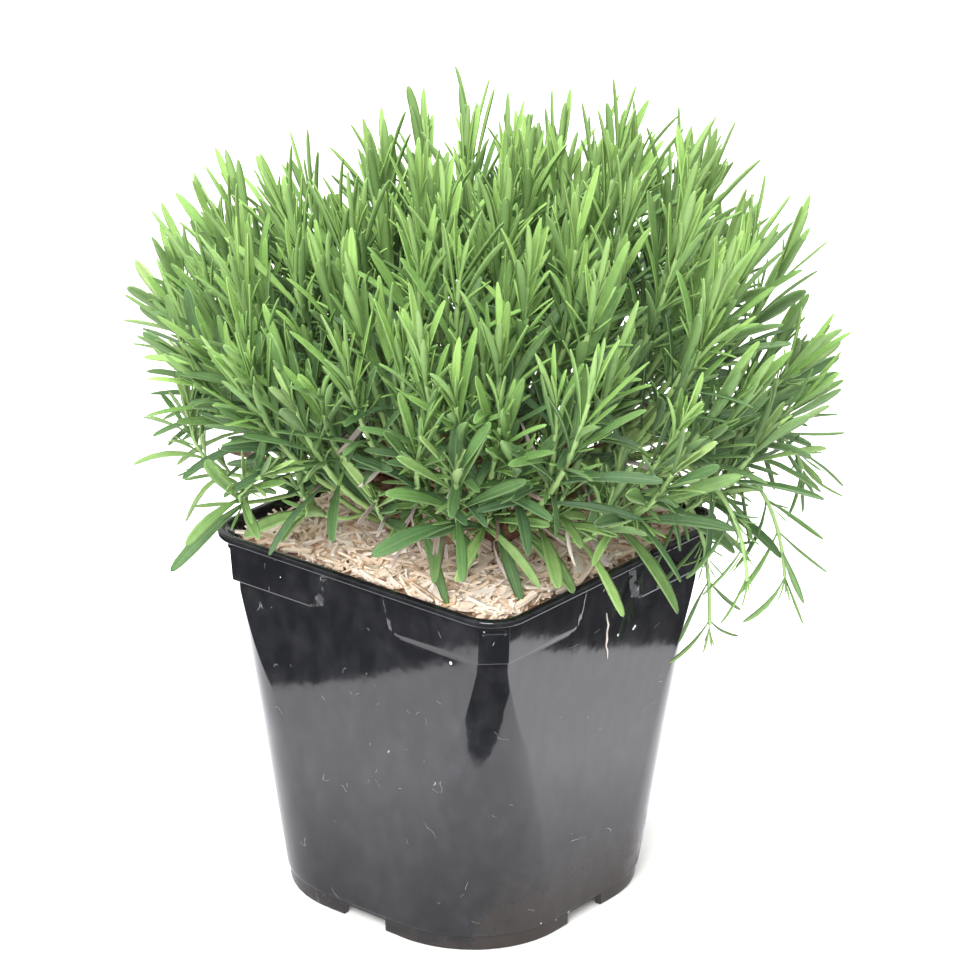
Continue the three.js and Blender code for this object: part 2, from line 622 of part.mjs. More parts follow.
/** Places every leaf that finds room, the top pairs of all shoots first. */
function growLeaves(fixed) {
  for (const shoot of shoots) {
    const rings = [stemRing(shoot, 0)];
    for (let pair = shoot.levels - 1; pair >= 0; pair--) rings.push(...nodeRings(shoot, pair));
    shoot.stem = boxed(loft(rings));
    shoot.leaves = [];
  }
  for (let pair = 0; pair < PAIRS.length; pair++) {
    for (const shoot of shoots) {
      if (pair >= shoot.levels) continue;
      for (const side of [0, 1]) placeLeaf(shoot, pair, side, fixed);
    }
  }
}

function placeLeaf(shoot, pair, side, fixed) {
  const nominal = nominalLeaf(shoot, pair, side);
  const own = [shoot.stem, ...shoot.leaves.map((leaf) => leaf.blade)];
  const others = [...fixed];
  for (const neighbour of shoots) {
    if (neighbour !== shoot) others.push(neighbour.stem, ...neighbour.leaves.map((leaf) => leaf.whole));
  }
  for (const change of ADJUSTMENTS) {
    const leaf = {
      ...nominal,
      turn: nominal.turn + change.turn,
      open: nominal.open * change.open,
      length: nominal.length * change.length,
    };
    leaf.rings = bladeRings(shoot, leaf);
    const [a, b, c, d] = leafSocket(leaf, nodeRings(shoot, pair));
    leaf.whole = boxed(loft([[a.clone().lerp(b, 0.5), c, d], ...leaf.rings]));
    leaf.blade = boxed(loft(leaf.rings));
    const { min, max } = leaf.whole.box;
    const inPlan = Math.max(-min.x, -min.y, max.x, max.y) <= PLAN_LIMIT;
    const ownClear = own.every((part) => isClear(leaf.blade, part, OWN_CLEARANCE));
    if (inPlan && ownClear && others.every((other) => isClear(leaf.whole, other, LEAF_CLEARANCE))) {
      shoot.leaves.push(leaf);
      return;
    }
    leaf.whole.body.delete();
    leaf.blade.body.delete();
  }
}

// ---------------------------------------------------------------- assembly

const plant = new THREE.Group();
plant.name = "potted_lavender";

/** Adds a named mesh to the plant and returns its geometry. */
function addMesh(name, geometry, material) {
  const mesh = new THREE.Mesh(geometry, material);
  mesh.name = name;
  plant.add(mesh);
  return geometry;
}

addMesh("growing_medium", skinOf(makeMedium()), MATERIALS.medium);
const obstacles = [
  addMesh("pot", skinOf(makePot()), MATERIALS.pot),
  addMesh("wood_mulch", skinOf(makeMulch()), MATERIALS.mulch),
  ...["a", "b", "c"].map((letter, crown) =>
    addMesh(`woody_stems_${letter}`, skinOf(makeCrown(crown)), MATERIALS.wood),
  ),
];

growLeaves(obstacles.map(boxed));
shoots.forEach((shoot, n) => {
  const name = `spray_${String(n + 1).padStart(2, "0")}`;
  addMesh(name, sprayGeometry(shoot), shoot.low ? MATERIALS.skirt : MATERIALS.canopy);
});

export default plant;
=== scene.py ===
"""Potted lavender: the finish of a bushy young plant in a square nursery pot.

Lengths are worked out in millimetres and turned to metres where a mesh is made. +Z is up, and the
origin is on the ground under the middle of the pot, whose walls face X and Y.
"""

import bpy
import numpy as np
from mathutils import Matrix, Vector


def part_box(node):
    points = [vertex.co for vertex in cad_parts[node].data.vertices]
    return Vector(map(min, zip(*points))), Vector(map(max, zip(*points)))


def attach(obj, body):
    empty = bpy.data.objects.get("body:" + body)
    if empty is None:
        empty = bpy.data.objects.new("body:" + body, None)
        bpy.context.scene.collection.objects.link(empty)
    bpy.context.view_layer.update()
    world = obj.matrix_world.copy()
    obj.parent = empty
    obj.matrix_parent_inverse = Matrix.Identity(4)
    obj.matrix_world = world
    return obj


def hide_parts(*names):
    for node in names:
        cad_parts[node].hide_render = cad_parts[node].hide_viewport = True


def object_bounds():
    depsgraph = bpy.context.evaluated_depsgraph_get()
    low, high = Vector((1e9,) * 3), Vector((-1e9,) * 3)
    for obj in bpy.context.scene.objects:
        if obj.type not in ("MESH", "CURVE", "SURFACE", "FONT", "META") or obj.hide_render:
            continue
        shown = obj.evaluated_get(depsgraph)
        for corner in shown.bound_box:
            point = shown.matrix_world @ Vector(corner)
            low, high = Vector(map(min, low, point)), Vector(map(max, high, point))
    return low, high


bl_info = {
    "name": "Potted Lavender",
    "version": (1, 0, 0),
    "blender": (4, 5, 0),
    "location": "3D View > Sidebar > Lavender",
    "description": "Builds the pot, shavings, woody crowns and leafy shoots of a potted lavender",
    "category": "Object",
}

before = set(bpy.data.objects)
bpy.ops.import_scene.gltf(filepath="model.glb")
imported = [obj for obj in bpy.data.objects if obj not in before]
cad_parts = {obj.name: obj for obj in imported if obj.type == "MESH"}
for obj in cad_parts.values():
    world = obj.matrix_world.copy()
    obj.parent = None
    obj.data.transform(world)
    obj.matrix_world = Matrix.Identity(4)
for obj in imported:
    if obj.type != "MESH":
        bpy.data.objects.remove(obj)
CAD_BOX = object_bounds()

MM = 0.001
UP = np.array([0.0, 0.0, 1.0])
GOLDEN_ANGLE = np.pi * (3 - np.sqrt(5))

# ---------------------------------------------------------------- sizes shared by several pieces

POT_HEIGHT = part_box("pot")[1].z / MM
WALL = 1.5
FLOOR_UNDERSIDE = 6.5
FLOOR_TOP = 8.5
FOOT_HALF = 62.8
FOOT_LEG = 43.0
FOOT_RING = 3.2
BODY_TOP = 149.0
BODY_HALF = (64.0, 69.2)  # half width at the floor's underside and at the top
CORNER_LEG = (44.0, 8.0)  # of the corner at the floor's underside and of its flat cut
ROUND_BELOW = 88.0  # corners are full arcs below this height
FLAT_ABOVE = 130.0  # and flat cuts above this one
COLLAR_BOTTOM = 134.0
COLLAR_HALF = 70.6
COLLAR_GAP = 14.6  # half width of the bare stretch between two corner panels, at their top
COLLAR_EDGE = 0.22  # half width of a panel's upright edge
MARK_BOTTOM = 147.2  # of the raised mould mark on each corner
MARK_TOP = 148.9
LIP_UNDERSIDE = POT_HEIGHT - 2.8
LIP_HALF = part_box("pot")[1].x / MM
LIP_LEG = 15.6
NOTCH_HALF = 11.0
NOTCH_HEIGHT = 5.0
DRAIN_RADIUS = 4.5
DRAIN_OUT = (46.0, 50.0)

BED_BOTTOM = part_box("wood_mulch")[0].z / MM
BED_TOP = BED_BOTTOM + 10.7

CROWN_RADIUS = 26.0
CROWN_AZIMUTHS = np.radians([98.5, 218.5, 338.5])
TRUNK_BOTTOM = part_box("woody_stems_a")[0].z / MM
TRUNK_TOP = TRUNK_BOTTOM + 41.0
LIMBS_PER_CROWN = 3
# Radius at the root and at the tip.
TRUNK_RADII = (4.0, 3.4)
LIMB_RADII = (3.2, 2.2)
TWIG_RADII = (1.75, 1.15)
THIN_TWIG_RADII = (1.5, 0.95)
STEM_RADIUS = (1.25, 0.75)

CANOPY_SHOOTS = 40
SKIRT_SHOOTS = 11
LEAN_AZIMUTH = np.radians(38.5)
CLEARANCE = 0.3  # that pieces resting on each other keep
BOX_MARGIN = 2.5  # that the tips of leaves keep from the box of the solids

# First number of each kind of shoot that only the finish has. The solids have those below 100. A
# shoot's number is the first key of its draws.
UPPER, SIDE, ROSETTE, HEART, TRAILING, RIM = 100, 200, 300, 400, 500, 600

# Per pair of leaves, from the top of a shoot down: place on the stem, share of the leaf's length,
# opening from the stem in degrees, bend away from it, and droop under the leaf's own weight.
PAIR_U = (0.985, 0.86, 0.70, 0.52, 0.32)
PAIR_LENGTH = (0.8, 0.94, 1.0, 1.0, 0.9)
PAIR_OPEN = (8, 15, 23, 33, 48)
PAIR_BEND = (0.03, 0.06, 0.1, 0.14, 0.16)
PAIR_DROOP = (0, 0.01, 0.04, 0.09, 0.16)
STEPS_PER_PAIR = 2  # a finished shoot has this many pairs for each pair of its solid

# Shares of a leaf's length at which its blade has a section.
LARGE_STATIONS = (0.0, 0.1, 0.24, 0.4, 0.56, 0.7, 0.83, 0.93, 0.985)
INFILL_STATIONS = (0.0, 0.14, 0.34, 0.56, 0.76, 0.91, 0.98)
SMALL_STATIONS = (0.0, 0.22, 0.5, 0.78, 0.95)

CANOPY_PALETTE = {
    "youngest": "#8aae5d", "young": "#759c4e", "mature": "#52733f", "old": "#426040",
    "underside": "#7b966c", "midrib": "#96b078", "margin": "#99b675",
}
SKIRT_PALETTE = {
    "youngest": "#98b36f", "young": "#7c9c58", "mature": "#597d42", "old": "#43643a",
    "underside": "#839a6e", "midrib": "#96aa7c", "margin": "#98b07a",
}


# ---------------------------------------------------------------- numbers


def draw(*keys):
    """A number from 0 to 1 that depends only on the whole numbers given. Keys may be arrays."""
    mask = np.uint64(0xFFFFFFFF)
    result = np.uint64(20611)
    for key in keys:
        word = (np.asarray(key, np.int64).astype(np.uint64) + np.uint64(0x9E3779B9)) & mask
        result = ((result ^ word) * np.uint64(0x85EBCA6B)) & mask
        result = result ^ (result >> np.uint64(13))
        result = (result * np.uint64(0xC2B2AE35)) & mask
        result = result ^ (result >> np.uint64(16))
    return result / 4294967296.0


def sway(*keys):
    """The same as draw, spread evenly from -1 to 1."""
    return 2 * draw(*keys) - 1


def lerp(a, b, t):
    return a + (b - a) * t


def smooth(edge0, edge1, x):
    """0 below the first edge, 1 above the second, and an S-curve between them."""
    t = np.clip((x - edge0) / (edge1 - edge0), 0, 1)
    return t * t * (3 - 2 * t)


def unit(vectors):
    return vectors / np.linalg.norm(vectors, axis=-1, keepdims=True)


def dot(a, b):
    return (a * b).sum(-1, keepdims=True)


def turned(first, second, angle):
    """Two directions square to each other, turned by an angle from the first towards the second."""
    return first * np.cos(angle) + second * np.sin(angle), second * np.cos(angle) - first * np.sin(angle)


def polar(radius, azimuth, z):
    """Points at a height, a radius from the pot's axis and an azimuth from +X."""
    radius, azimuth, z = np.broadcast_arrays(radius, azimuth, z)
    return np.stack([radius * np.cos(azimuth), radius * np.sin(azimuth), z], -1).astype(float)


def linear(colour):
    """An sRGB hex colour as linear red, green, blue and alpha."""
    code = np.array([int(colour[i : i + 2], 16) for i in (1, 3, 5)]) / 255
    rgb = np.where(code <= 0.04045, code / 12.92, ((code + 0.055) / 1.055) ** 2.4)
    return (*(float(c) for c in rgb), 1.0)


# ---------------------------------------------------------------- meshes


class Skin:
    """Closed surfaces kept as whole arrays until they become one mesh."""

    def __init__(self):
        self.points, self.corners, self.sizes, self.uvs, self.slots = [], [], [], [], []
        self.paint = {}
        self.count = 0

    def add(self, grid, start, end, rows_v, slot=0, **paint):
        """Adds copies of a surface: grid[copy, row, column] are points, closed round the columns.

        A ring turns anticlockwise about the direction in which the rows follow each other. Row 0
        closes on the point start and the last row on the point end. UV: the share of the way round,
        and rows_v. Each further argument is a number for every copy, kept as a point attribute.
        """
        copies, rows, columns = grid.shape[:3]
        size = rows * columns + 2
        points = np.concatenate([start[:, None], grid.reshape(copies, -1, 3), end[:, None]], 1)
        ring = 1 + np.arange(rows * columns).reshape(rows, columns)
        after = np.roll(ring, -1, axis=1)
        uv = np.stack(np.meshgrid(np.linspace(0, 1, columns + 1), np.asarray(rows_v, float)), -1)
        here, there = uv[:, :-1], uv[:, 1:]
        middle = (here + there) / 2
        fans = (
            (ring[:-1], here[:-1]), (after[:-1], there[:-1]), (after[1:], there[1:]), (ring[1:], here[1:]),
        ), (
            (np.zeros_like(ring[0]), middle[0]), (after[0], there[0]), (ring[0], here[0]),
        ), (
            (ring[-1], here[-1]), (after[-1], there[-1]), (np.full_like(ring[0], size - 1), middle[-1]),
        )
        offsets = self.count + np.arange(copies)[:, None, None] * size
        for fan in fans:
            faces = np.stack([numbers for numbers, _ in fan], -1).reshape(-1, len(fan))
            face_uv = np.stack([place for _, place in fan], -2).reshape(-1, 2)
            self.corners.append((faces + offsets).ravel())
            self.sizes.append(np.full(copies * len(faces), len(fan)))
            self.uvs.append(np.tile(face_uv, (copies, 1)))
            self.slots.append(np.full(copies * len(faces), slot))
        for name, value in paint.items():
            every = np.repeat(np.broadcast_to(np.asarray(value, float), (copies,)), size)
            self.paint.setdefault(name, []).append((self.count, every))
        self.points.append(points.reshape(-1, 3))
        self.count += copies * size

    def make(self, name, materials, replaced=(), smooth_faces=True):
        """Turns the surfaces into a piece in metres that rides on the plant's body."""
        mesh = bpy.data.meshes.new(name)
        corners, sizes = np.concatenate(self.corners), np.concatenate(self.sizes)
        mesh.vertices.add(self.count)
        mesh.vertices.foreach_set("co", (np.concatenate(self.points) * MM).ravel())
        mesh.loops.add(len(corners))
        mesh.loops.foreach_set("vertex_index", corners.astype(np.int32))
        mesh.polygons.add(len(sizes))
        mesh.polygons.foreach_set("loop_start", (np.cumsum(sizes) - sizes).astype(np.int32))
        mesh.polygons.foreach_set("material_index", np.concatenate(self.slots).astype(np.int32))
        mesh.polygons.foreach_set("use_smooth", np.full(len(sizes), smooth_faces))
        mesh.uv_layers.new(name="UVMap").uv.foreach_set("vector", np.concatenate(self.uvs).ravel())
        for attribute, chunks in self.paint.items():
            values = np.zeros(self.count)
            for begin, chunk in chunks:
                values[begin : begin + len(chunk)] = chunk
            mesh.attributes.new(attribute, "FLOAT", "POINT").data.foreach_set("value", values)
        mesh.update(calc_edges=True)
        for material in materials:
            mesh.materials.append(material)
        piece = bpy.data.objects.new(name, mesh)
        bpy.context.scene.collection.objects.link(piece)
        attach(piece, "root")
        if replaced:
            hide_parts(*replaced)
        return piece


def curve_frames(start, control, end, azimuth, u):
    """Points of quadratic curves at shares u of their length, with the direction and two sides.

    Point: start (1-u)^2 + control 2u(1-u) + end u^2. The first side is level and square to the
    azimuth as far as the direction allows, and the second side is direction x first side.
    """
    u = u[..., None]
    place = (1 - u) ** 2 * start + 2 * u * (1 - u) * control + u**2 * end
    along = unit((1 - u) * (control - start) + u * (end - control))
    level = np.stack([-np.sin(azimuth), np.cos(azimuth), np.zeros_like(azimuth)], -1)
    first = unit(level - along * dot(level, along))
    return place, along, first, np.cross(along, first)


def add_tubes(skin, start, control, end, azimuth, radii, sides, steps, rough, key):
    """Round tubes along quadratic curves, their radius changing evenly, with domed ends.

    rough is the share by which the radius wanders from ring to ring and round each ring, and key
    keeps its draws apart from those of other tubes.
    """
    count = len(start)
    u = np.linspace(0, 1, steps + 1)
    place, along, first, second = curve_frames(
        start[:, None], control[:, None], end[:, None], np.tile(azimuth, (steps + 1, 1)).T,
        np.tile(u, (count, 1)),
    )
    copy, ring, side = np.meshgrid(np.arange(count), np.arange(steps + 1), np.arange(sides), indexing="ij")
    lumps = (1 + rough * sway(copy, ring, side, key)) * (1 + rough * sway(copy, ring, key + 1))
    turn = 2 * np.pi * np.arange(sides) / sides
    spokes, _ = turned(first[:, :, None], second[:, :, None], turn[:, None])
    grid = place[:, :, None] + spokes * (lerp(*radii, u)[:, None] * lumps)[..., None]
    foot = place[:, 0] - along[:, 0] * radii[0] * 0.6
    tip = place[:, -1] + along[:, -1] * radii[1] * 0.6
    skin.add(grid, foot, tip, u)


# ---------------------------------------------------------------- materials


def add(tree, kind, inputs=(), stops=(), **settings):
    """Adds a node: settings are its own, and stops are the places and colours of its colour ramp.

    inputs maps a socket to a value, to the output it is linked with, or to a node, which stands for
    its first output.
    """
    node = tree.nodes.new(kind)
    for name, value in settings.items():
        setattr(node, name, value)
    for place, _ in stops[1:-1]:
        node.color_ramp.elements.new(place)
    for number, (place, colour) in enumerate(stops):
        element = node.color_ramp.elements[number]
        element.position = place
        element.color = linear(colour) if isinstance(colour, str) else colour
    for socket, value in dict(inputs).items():
        if isinstance(value, bpy.types.Node):
            value = value.outputs[0]
        if isinstance(value, bpy.types.NodeSocket):
            tree.links.new(value, node.inputs[socket])
        else:
            node.inputs[socket].default_value = value
    return node


def new_material(name):
    """An empty material, its node tree, and the Object coordinates that its patterns read."""
    material = bpy.data.materials.new(name)
    material.use_nodes = True
    tree = material.node_tree
    tree.nodes.clear()
    return material, tree, add(tree, "ShaderNodeTexCoord").outputs["Object"]


def black_polypropylene(settings):
    """Injection-moulded black polypropylene: glossy, faintly wavy walls under a thin film of dust,
    with hairline scratches, pale specks of lime and brown soil splashed round the foot."""
    material, tree, at = new_material("moulded_polypropylene")
    place = add(tree, "ShaderNodeSeparateXYZ", {0: at})
    side, height = place.outputs["X"], place.outputs["Z"]
    upright = add(tree, "ShaderNodeMapping", {"Vector": at, "Scale": (1.0, 1.0, 0.6)})
    smudges = {"Vector": at, "Scale": 45.0, "Detail": 6.0, "Roughness": 0.62}
    smudges = add(tree, "ShaderNodeTexNoise", smudges)
    # Soil clings in blotches to the lowest 14 mm, and up to 60 mm on the side that faces +X.
    reach = add(tree, "ShaderNodeMapRange", {0: side, 1: 0.045, 2: 0.062, 3: 0.014, 4: 0.06})
    climb = add(tree, "ShaderNodeMath", {0: height, 1: reach}, operation="DIVIDE")
    foot = add(tree, "ShaderNodeMapRange", {0: side, 1: 0.045, 2: 0.062, 3: 0.4, 4: 0.58})
    low = add(tree, "ShaderNodeMapRange", {0: climb, 1: 0.0, 2: 1.0, 3: foot, 4: 0.0})
    blotches = {"Vector": at, "Scale": 95.0, "Detail": 8.0, "Roughness": 0.7}
    blotches = add(tree, "ShaderNodeTexNoise", blotches)
    soil = add(tree, "ShaderNodeMath", {0: low, 1: blotches}, operation="ADD")
    soil = add(tree, "ShaderNodeMapRange", {0: soil, 1: 0.68, 2: 1.0, 3: 0.0, 4: 0.6})
    # Specks 0.3 to 1.4 mm across, in one cell in twenty.
    cells = add(tree, "ShaderNodeTexVoronoi", {"Vector": at, "Scale": 190.0})
    pick = add(tree, "ShaderNodeSeparateColor", {0: cells.outputs["Color"]})
    rare = add(tree, "ShaderNodeMath", {0: pick, 1: 0.95}, operation="GREATER_THAN")
    size = add(tree, "ShaderNodeMapRange", {0: pick.outputs[1], 3: 0.03, 4: 0.13})
    near = add(tree, "ShaderNodeMath", {0: cells, 1: size}, operation="LESS_THAN")
    specks = add(tree, "ShaderNodeMath", {0: rare, 1: near}, operation="MULTIPLY")
    # Scratches: thin contour lines of a stretched noise, kept where another noise is high.
    warp = {"Vector": at, "Rotation": (0.4, 0.9, 0.3), "Scale": (1.0, 0.25, 1.0)}
    warp = add(tree, "ShaderNodeMapping", warp)
    line = add(tree, "ShaderNodeTexNoise", {"Vector": warp, "Scale": 60.0, "Detail": 2.0})
    line = add(tree, "ShaderNodeMath", {0: line, 1: 0.5}, operation="SUBTRACT")
    line = add(tree, "ShaderNodeMath", {0: line}, operation="ABSOLUTE")
    line = add(tree, "ShaderNodeMath", {0: line, 1: 0.0016}, operation="LESS_THAN")
    patch = add(tree, "ShaderNodeTexNoise", {"Vector": at, "Scale": 130.0, "Detail": 1.0})
    patch = add(tree, "ShaderNodeMath", {0: patch, 1: 0.65}, operation="GREATER_THAN")
    scratches = add(tree, "ShaderNodeMath", {0: line, 1: patch}, operation="MULTIPLY")
    scratches = add(tree, "ShaderNodeMath", {0: scratches, 1: 0.4}, operation="MULTIPLY")
    marks = add(tree, "ShaderNodeMath", {0: scratches, 1: specks}, operation="MAXIMUM")
    drips = add(tree, "ShaderNodeTexNoise", {"Vector": upright, "Scale": 150.0, "Detail": 6.0})
    film = add(tree, "ShaderNodeMath", {0: smudges, 1: drips}, operation="MULTIPLY")
    film = add(tree, "ShaderNodeMapRange", {0: film, 1: 0.18, 2: 0.4, 3: 0.0, 4: 0.04})
    colour = settings.plastic
    for cover, share in ((settings.dust, film), (settings.soil, soil), (settings.speck, marks)):
        layers = {0: share, 6: colour, 7: cover}
        colour = add(tree, "ShaderNodeMix", layers, data_type="RGBA").outputs[2]
    # Dull in soil and on marks, glossy elsewhere.
    gloss = add(tree, "ShaderNodeMapRange", {0: smudges, 1: 0.3, 2: 0.75, 3: 0.05, 4: 0.09})
    dull = add(tree, "ShaderNodeMix", {0: soil, 2: gloss, 3: 0.75})
    dull = add(tree, "ShaderNodeMath", {0: dull, 1: marks}, operation="ADD", use_clamp=True)
    # Waves in the moulded wall, finer ripples over them, and marks that stand proud.
    waves = add(tree, "ShaderNodeTexNoise", {"Vector": at, "Scale": 22.0, "Detail": 2.0})
    ripples = add(tree, "ShaderNodeTexNoise", {"Vector": upright, "Scale": 330.0, "Detail": 0.3})
    bump = add(tree, "ShaderNodeBump", {"Height": waves, "Strength": 0.55, "Distance": 0.0003})
    for relief, metres in ((ripples, 0.00004), (marks, 0.0002)):
        relief = {"Height": relief, "Strength": 0.5, "Distance": metres, "Normal": bump}
        bump = add(tree, "ShaderNodeBump", relief)
    add(tree, "ShaderNodeOutputMaterial", {"Surface": add(tree, "ShaderNodeBsdfPrincipled", {
        "Base Color": colour, "Roughness": dull, "IOR": 1.5, "Normal": bump,
    })})
    return material


def softwood_shavings(settings):
    """Planed and splintered softwood: cream to tan slivers with long grain, a few stained brown."""
    material, tree, at = new_material("softwood_shavings")
    shade = add(tree, "ShaderNodeAttribute", attribute_name="shade").outputs["Fac"]
    uv = add(tree, "ShaderNodeUVMap", uv_map="UVMap")
    stretched = add(tree, "ShaderNodeMapping", {"Vector": uv, "Scale": (26.0, 1.6, 1.0)})
    seed = add(tree, "ShaderNodeMath", {0: shade, 1: 61.0}, operation="MULTIPLY")
    grain = {"Vector": stretched, "W": seed, "Scale": 1.0, "Detail": 4.0}
    grain = add(tree, "ShaderNodeTexNoise", grain, noise_dimensions="4D")
    blotches = add(tree, "ShaderNodeTexNoise", {"Vector": at, "Scale": 260.0, "Detail": 5.0})
    colour = add(tree, "ShaderNodeValToRGB", {0: shade}, stops=[
        (0.0, settings.heartwood), (0.12, settings.stain), (0.35, settings.middle), (0.7, settings.pale),
        (1.0, settings.sapwood),
    ]).outputs["Color"]
    lines = add(tree, "ShaderNodeMapRange", {0: grain, 1: 0.4, 2: 0.75, 3: 0.0, 4: 0.5})
    dirt = add(tree, "ShaderNodeMapRange", {0: blotches, 1: 0.55, 2: 0.8, 3: 0.0, 4: 0.35})
    for cover, share in ((settings.grain, lines), (settings.stain, dirt)):
        layers = {0: share, 6: colour, 7: cover}
        colour = add(tree, "ShaderNodeMix", layers, data_type="RGBA").outputs[2]
    bump = add(tree, "ShaderNodeBump", {"Height": grain, "Strength": 0.5, "Distance": 0.0002})
    add(tree, "ShaderNodeOutputMaterial", {"Surface": add(tree, "ShaderNodeBsdfPrincipled", {
        "Base Color": colour, "Roughness": 0.82, "IOR": 1.45, "Normal": bump,
    })})
    return material


def lavender_leaf(name, palette):
    """A living lavender leaf: satin, thinly felted with hairs, fresh green when young and deeper,
    bluer green when old, with a pale sunk midrib, pale margins and a paler underside."""
    material, tree, at = new_material(name)
    age = add(tree, "ShaderNodeAttribute", attribute_name="leaf_age").outputs["Fac"]
    tone_and_shade = add(tree, "ShaderNodeAttribute", attribute_name="leaf_tone").outputs["Fac"]
    place = add(tree, "ShaderNodeSeparateXYZ", {0: add(tree, "ShaderNodeUVMap", uv_map="UVMap")})
    around, along = place.outputs["X"], place.outputs["Y"]
    # A face is half the way round: 0 at one margin, 0.5 at the midrib, 1 at the other margin.
    face = add(tree, "ShaderNodeMath", {0: around, 1: 2.0}, operation="MULTIPLY")
    face = add(tree, "ShaderNodeMath", {0: face}, operation="FRACT")
    off_rib = add(tree, "ShaderNodeMath", {0: face, 1: 0.5}, operation="SUBTRACT")
    off_rib = add(tree, "ShaderNodeMath", {0: off_rib}, operation="ABSOLUTE")
    rib = add(tree, "ShaderNodeMapRange", {0: off_rib, 1: 0.01, 2: 0.08, 3: 1.0, 4: 0.0})
    margin = add(tree, "ShaderNodeMapRange", {0: off_rib, 1: 0.36, 2: 0.48, 3: 0.0, 4: 0.34})
    beneath = add(tree, "ShaderNodeMath", {0: around, 1: 0.5}, operation="GREATER_THAN")
    # The colour follows the leaf's age, a little older in blotches and younger towards the tip.
    mottle = {"Vector": at, "Scale": 330.0, "Detail": 4.0, "Roughness": 0.6}
    mottle = add(tree, "ShaderNodeTexNoise", mottle)
    older = add(tree, "ShaderNodeMath", {0: mottle, 1: 0.5}, operation="SUBTRACT")
    older = add(tree, "ShaderNodeMath", {0: older, 1: 0.4, 2: age}, operation="MULTIPLY_ADD")
    older = add(tree, "ShaderNodeMath", {0: along, 1: -0.10, 2: older}, operation="MULTIPLY_ADD")
    colour = add(tree, "ShaderNodeValToRGB", {0: older}, stops=[
        (0.0, palette["youngest"]), (0.3, palette["young"]), (0.65, palette["mature"]),
        (1.0, palette["old"]),
    ])
    # The tone darkens the colour at random and, in the heart of the bush, as painted shade.
    bright = add(tree, "ShaderNodeMapRange", {0: tone_and_shade, 1: -1.0, 2: 1.0, 3: 0.42, 4: 0.98})
    colour = add(tree, "ShaderNodeHueSaturation", {"Value": bright, "Color": colour}).outputs[0]
    beneath = add(tree, "ShaderNodeMath", {0: beneath, 1: 0.3}, operation="MULTIPLY")
    pale = add(tree, "ShaderNodeMath", {0: rib, 1: 0.18}, operation="MULTIPLY")
    for part, share in (("underside", beneath), ("midrib", pale), ("margin", margin)):
        layers = {0: share, 6: colour, 7: linear(palette[part])}
        colour = add(tree, "ShaderNodeMix", layers, data_type="RGBA").outputs[2]
    hairs = add(tree, "ShaderNodeTexNoise", {"Vector": at, "Scale": 1500.0, "Detail": 2.0})
    relief = add(tree, "ShaderNodeMath", {0: rib, 1: -0.5, 2: hairs}, operation="MULTIPLY_ADD")
    bump = add(tree, "ShaderNodeBump", {"Height": relief, "Strength": 0.5, "Distance": 0.00014})
    add(tree, "ShaderNodeOutputMaterial", {"Surface": add(tree, "ShaderNodeBsdfPrincipled", {
        "Base Color": colour, "Roughness": 0.56, "IOR": 1.4, "Normal": bump,
    })})
    return material


def green_stem():
    """Soft square young stem: pale green and downy, browner towards its woody foot."""
    material, tree, at = new_material("lavender_stem")
    place = add(tree, "ShaderNodeSeparateXYZ", {0: add(tree, "ShaderNodeUVMap", uv_map="UVMap")})
    along = place.outputs["Y"]
    mottle = add(tree, "ShaderNodeTexNoise", {"Vector": at, "Scale": 500.0, "Detail": 4.0})
    height = add(tree, "ShaderNodeMath", {0: mottle, 1: 0.3, 2: along}, operation="MULTIPLY_ADD")
    colour = add(tree, "ShaderNodeValToRGB", {0: height}, stops=[
        (0.1, "#6d563b"), (0.28, "#75834b"), (0.5, "#7e9a5a"), (0.95, "#89a768"),
    ])
    bump = add(tree, "ShaderNodeBump", {"Height": mottle, "Strength": 0.4, "Distance": 0.0002})
    add(tree, "ShaderNodeOutputMaterial", {"Surface": add(tree, "ShaderNodeBsdfPrincipled", {
        "Base Color": colour, "Roughness": 0.6, "Normal": bump,
    })})
    return material


def lavender_bark():
    """Thin peeling bark of a young woody stem: reddish brown with grey flakes and long cracks."""
    material, tree, at = new_material("lavender_bark")
    upright = add(tree, "ShaderNodeMapping", {"Vector": at, "Scale": (1.0, 1.0, 0.22)})
    fibres = {"Vector": upright, "Scale": 900.0, "Detail": 6.0, "Roughness": 0.65}
    fibres = add(tree, "ShaderNodeTexNoise", fibres)
    flakes = add(tree, "ShaderNodeTexNoise", {"Vector": at, "Scale": 170.0, "Detail": 4.0})
    brown = add(tree, "ShaderNodeValToRGB", {0: fibres}, stops=[
        (0.3, "#3a2519"), (0.5, "#6d4632"), (0.72, "#9c7258"),
    ])
    grey = add(tree, "ShaderNodeMapRange", {0: flakes, 1: 0.5, 2: 0.7, 3: 0.0, 4: 0.55})
    layers = {0: grey, 6: brown, 7: linear("#9b8574")}
    colour = add(tree, "ShaderNodeMix", layers, data_type="RGBA")
    bump = add(tree, "ShaderNodeBump", {"Height": fibres, "Strength": 0.8, "Distance": 0.0006})
    add(tree, "ShaderNodeOutputMaterial", {"Surface": add(tree, "ShaderNodeBsdfPrincipled", {
        "Base Color": colour.outputs[2], "Roughness": 0.88, "Normal": bump,
    })})
    return material


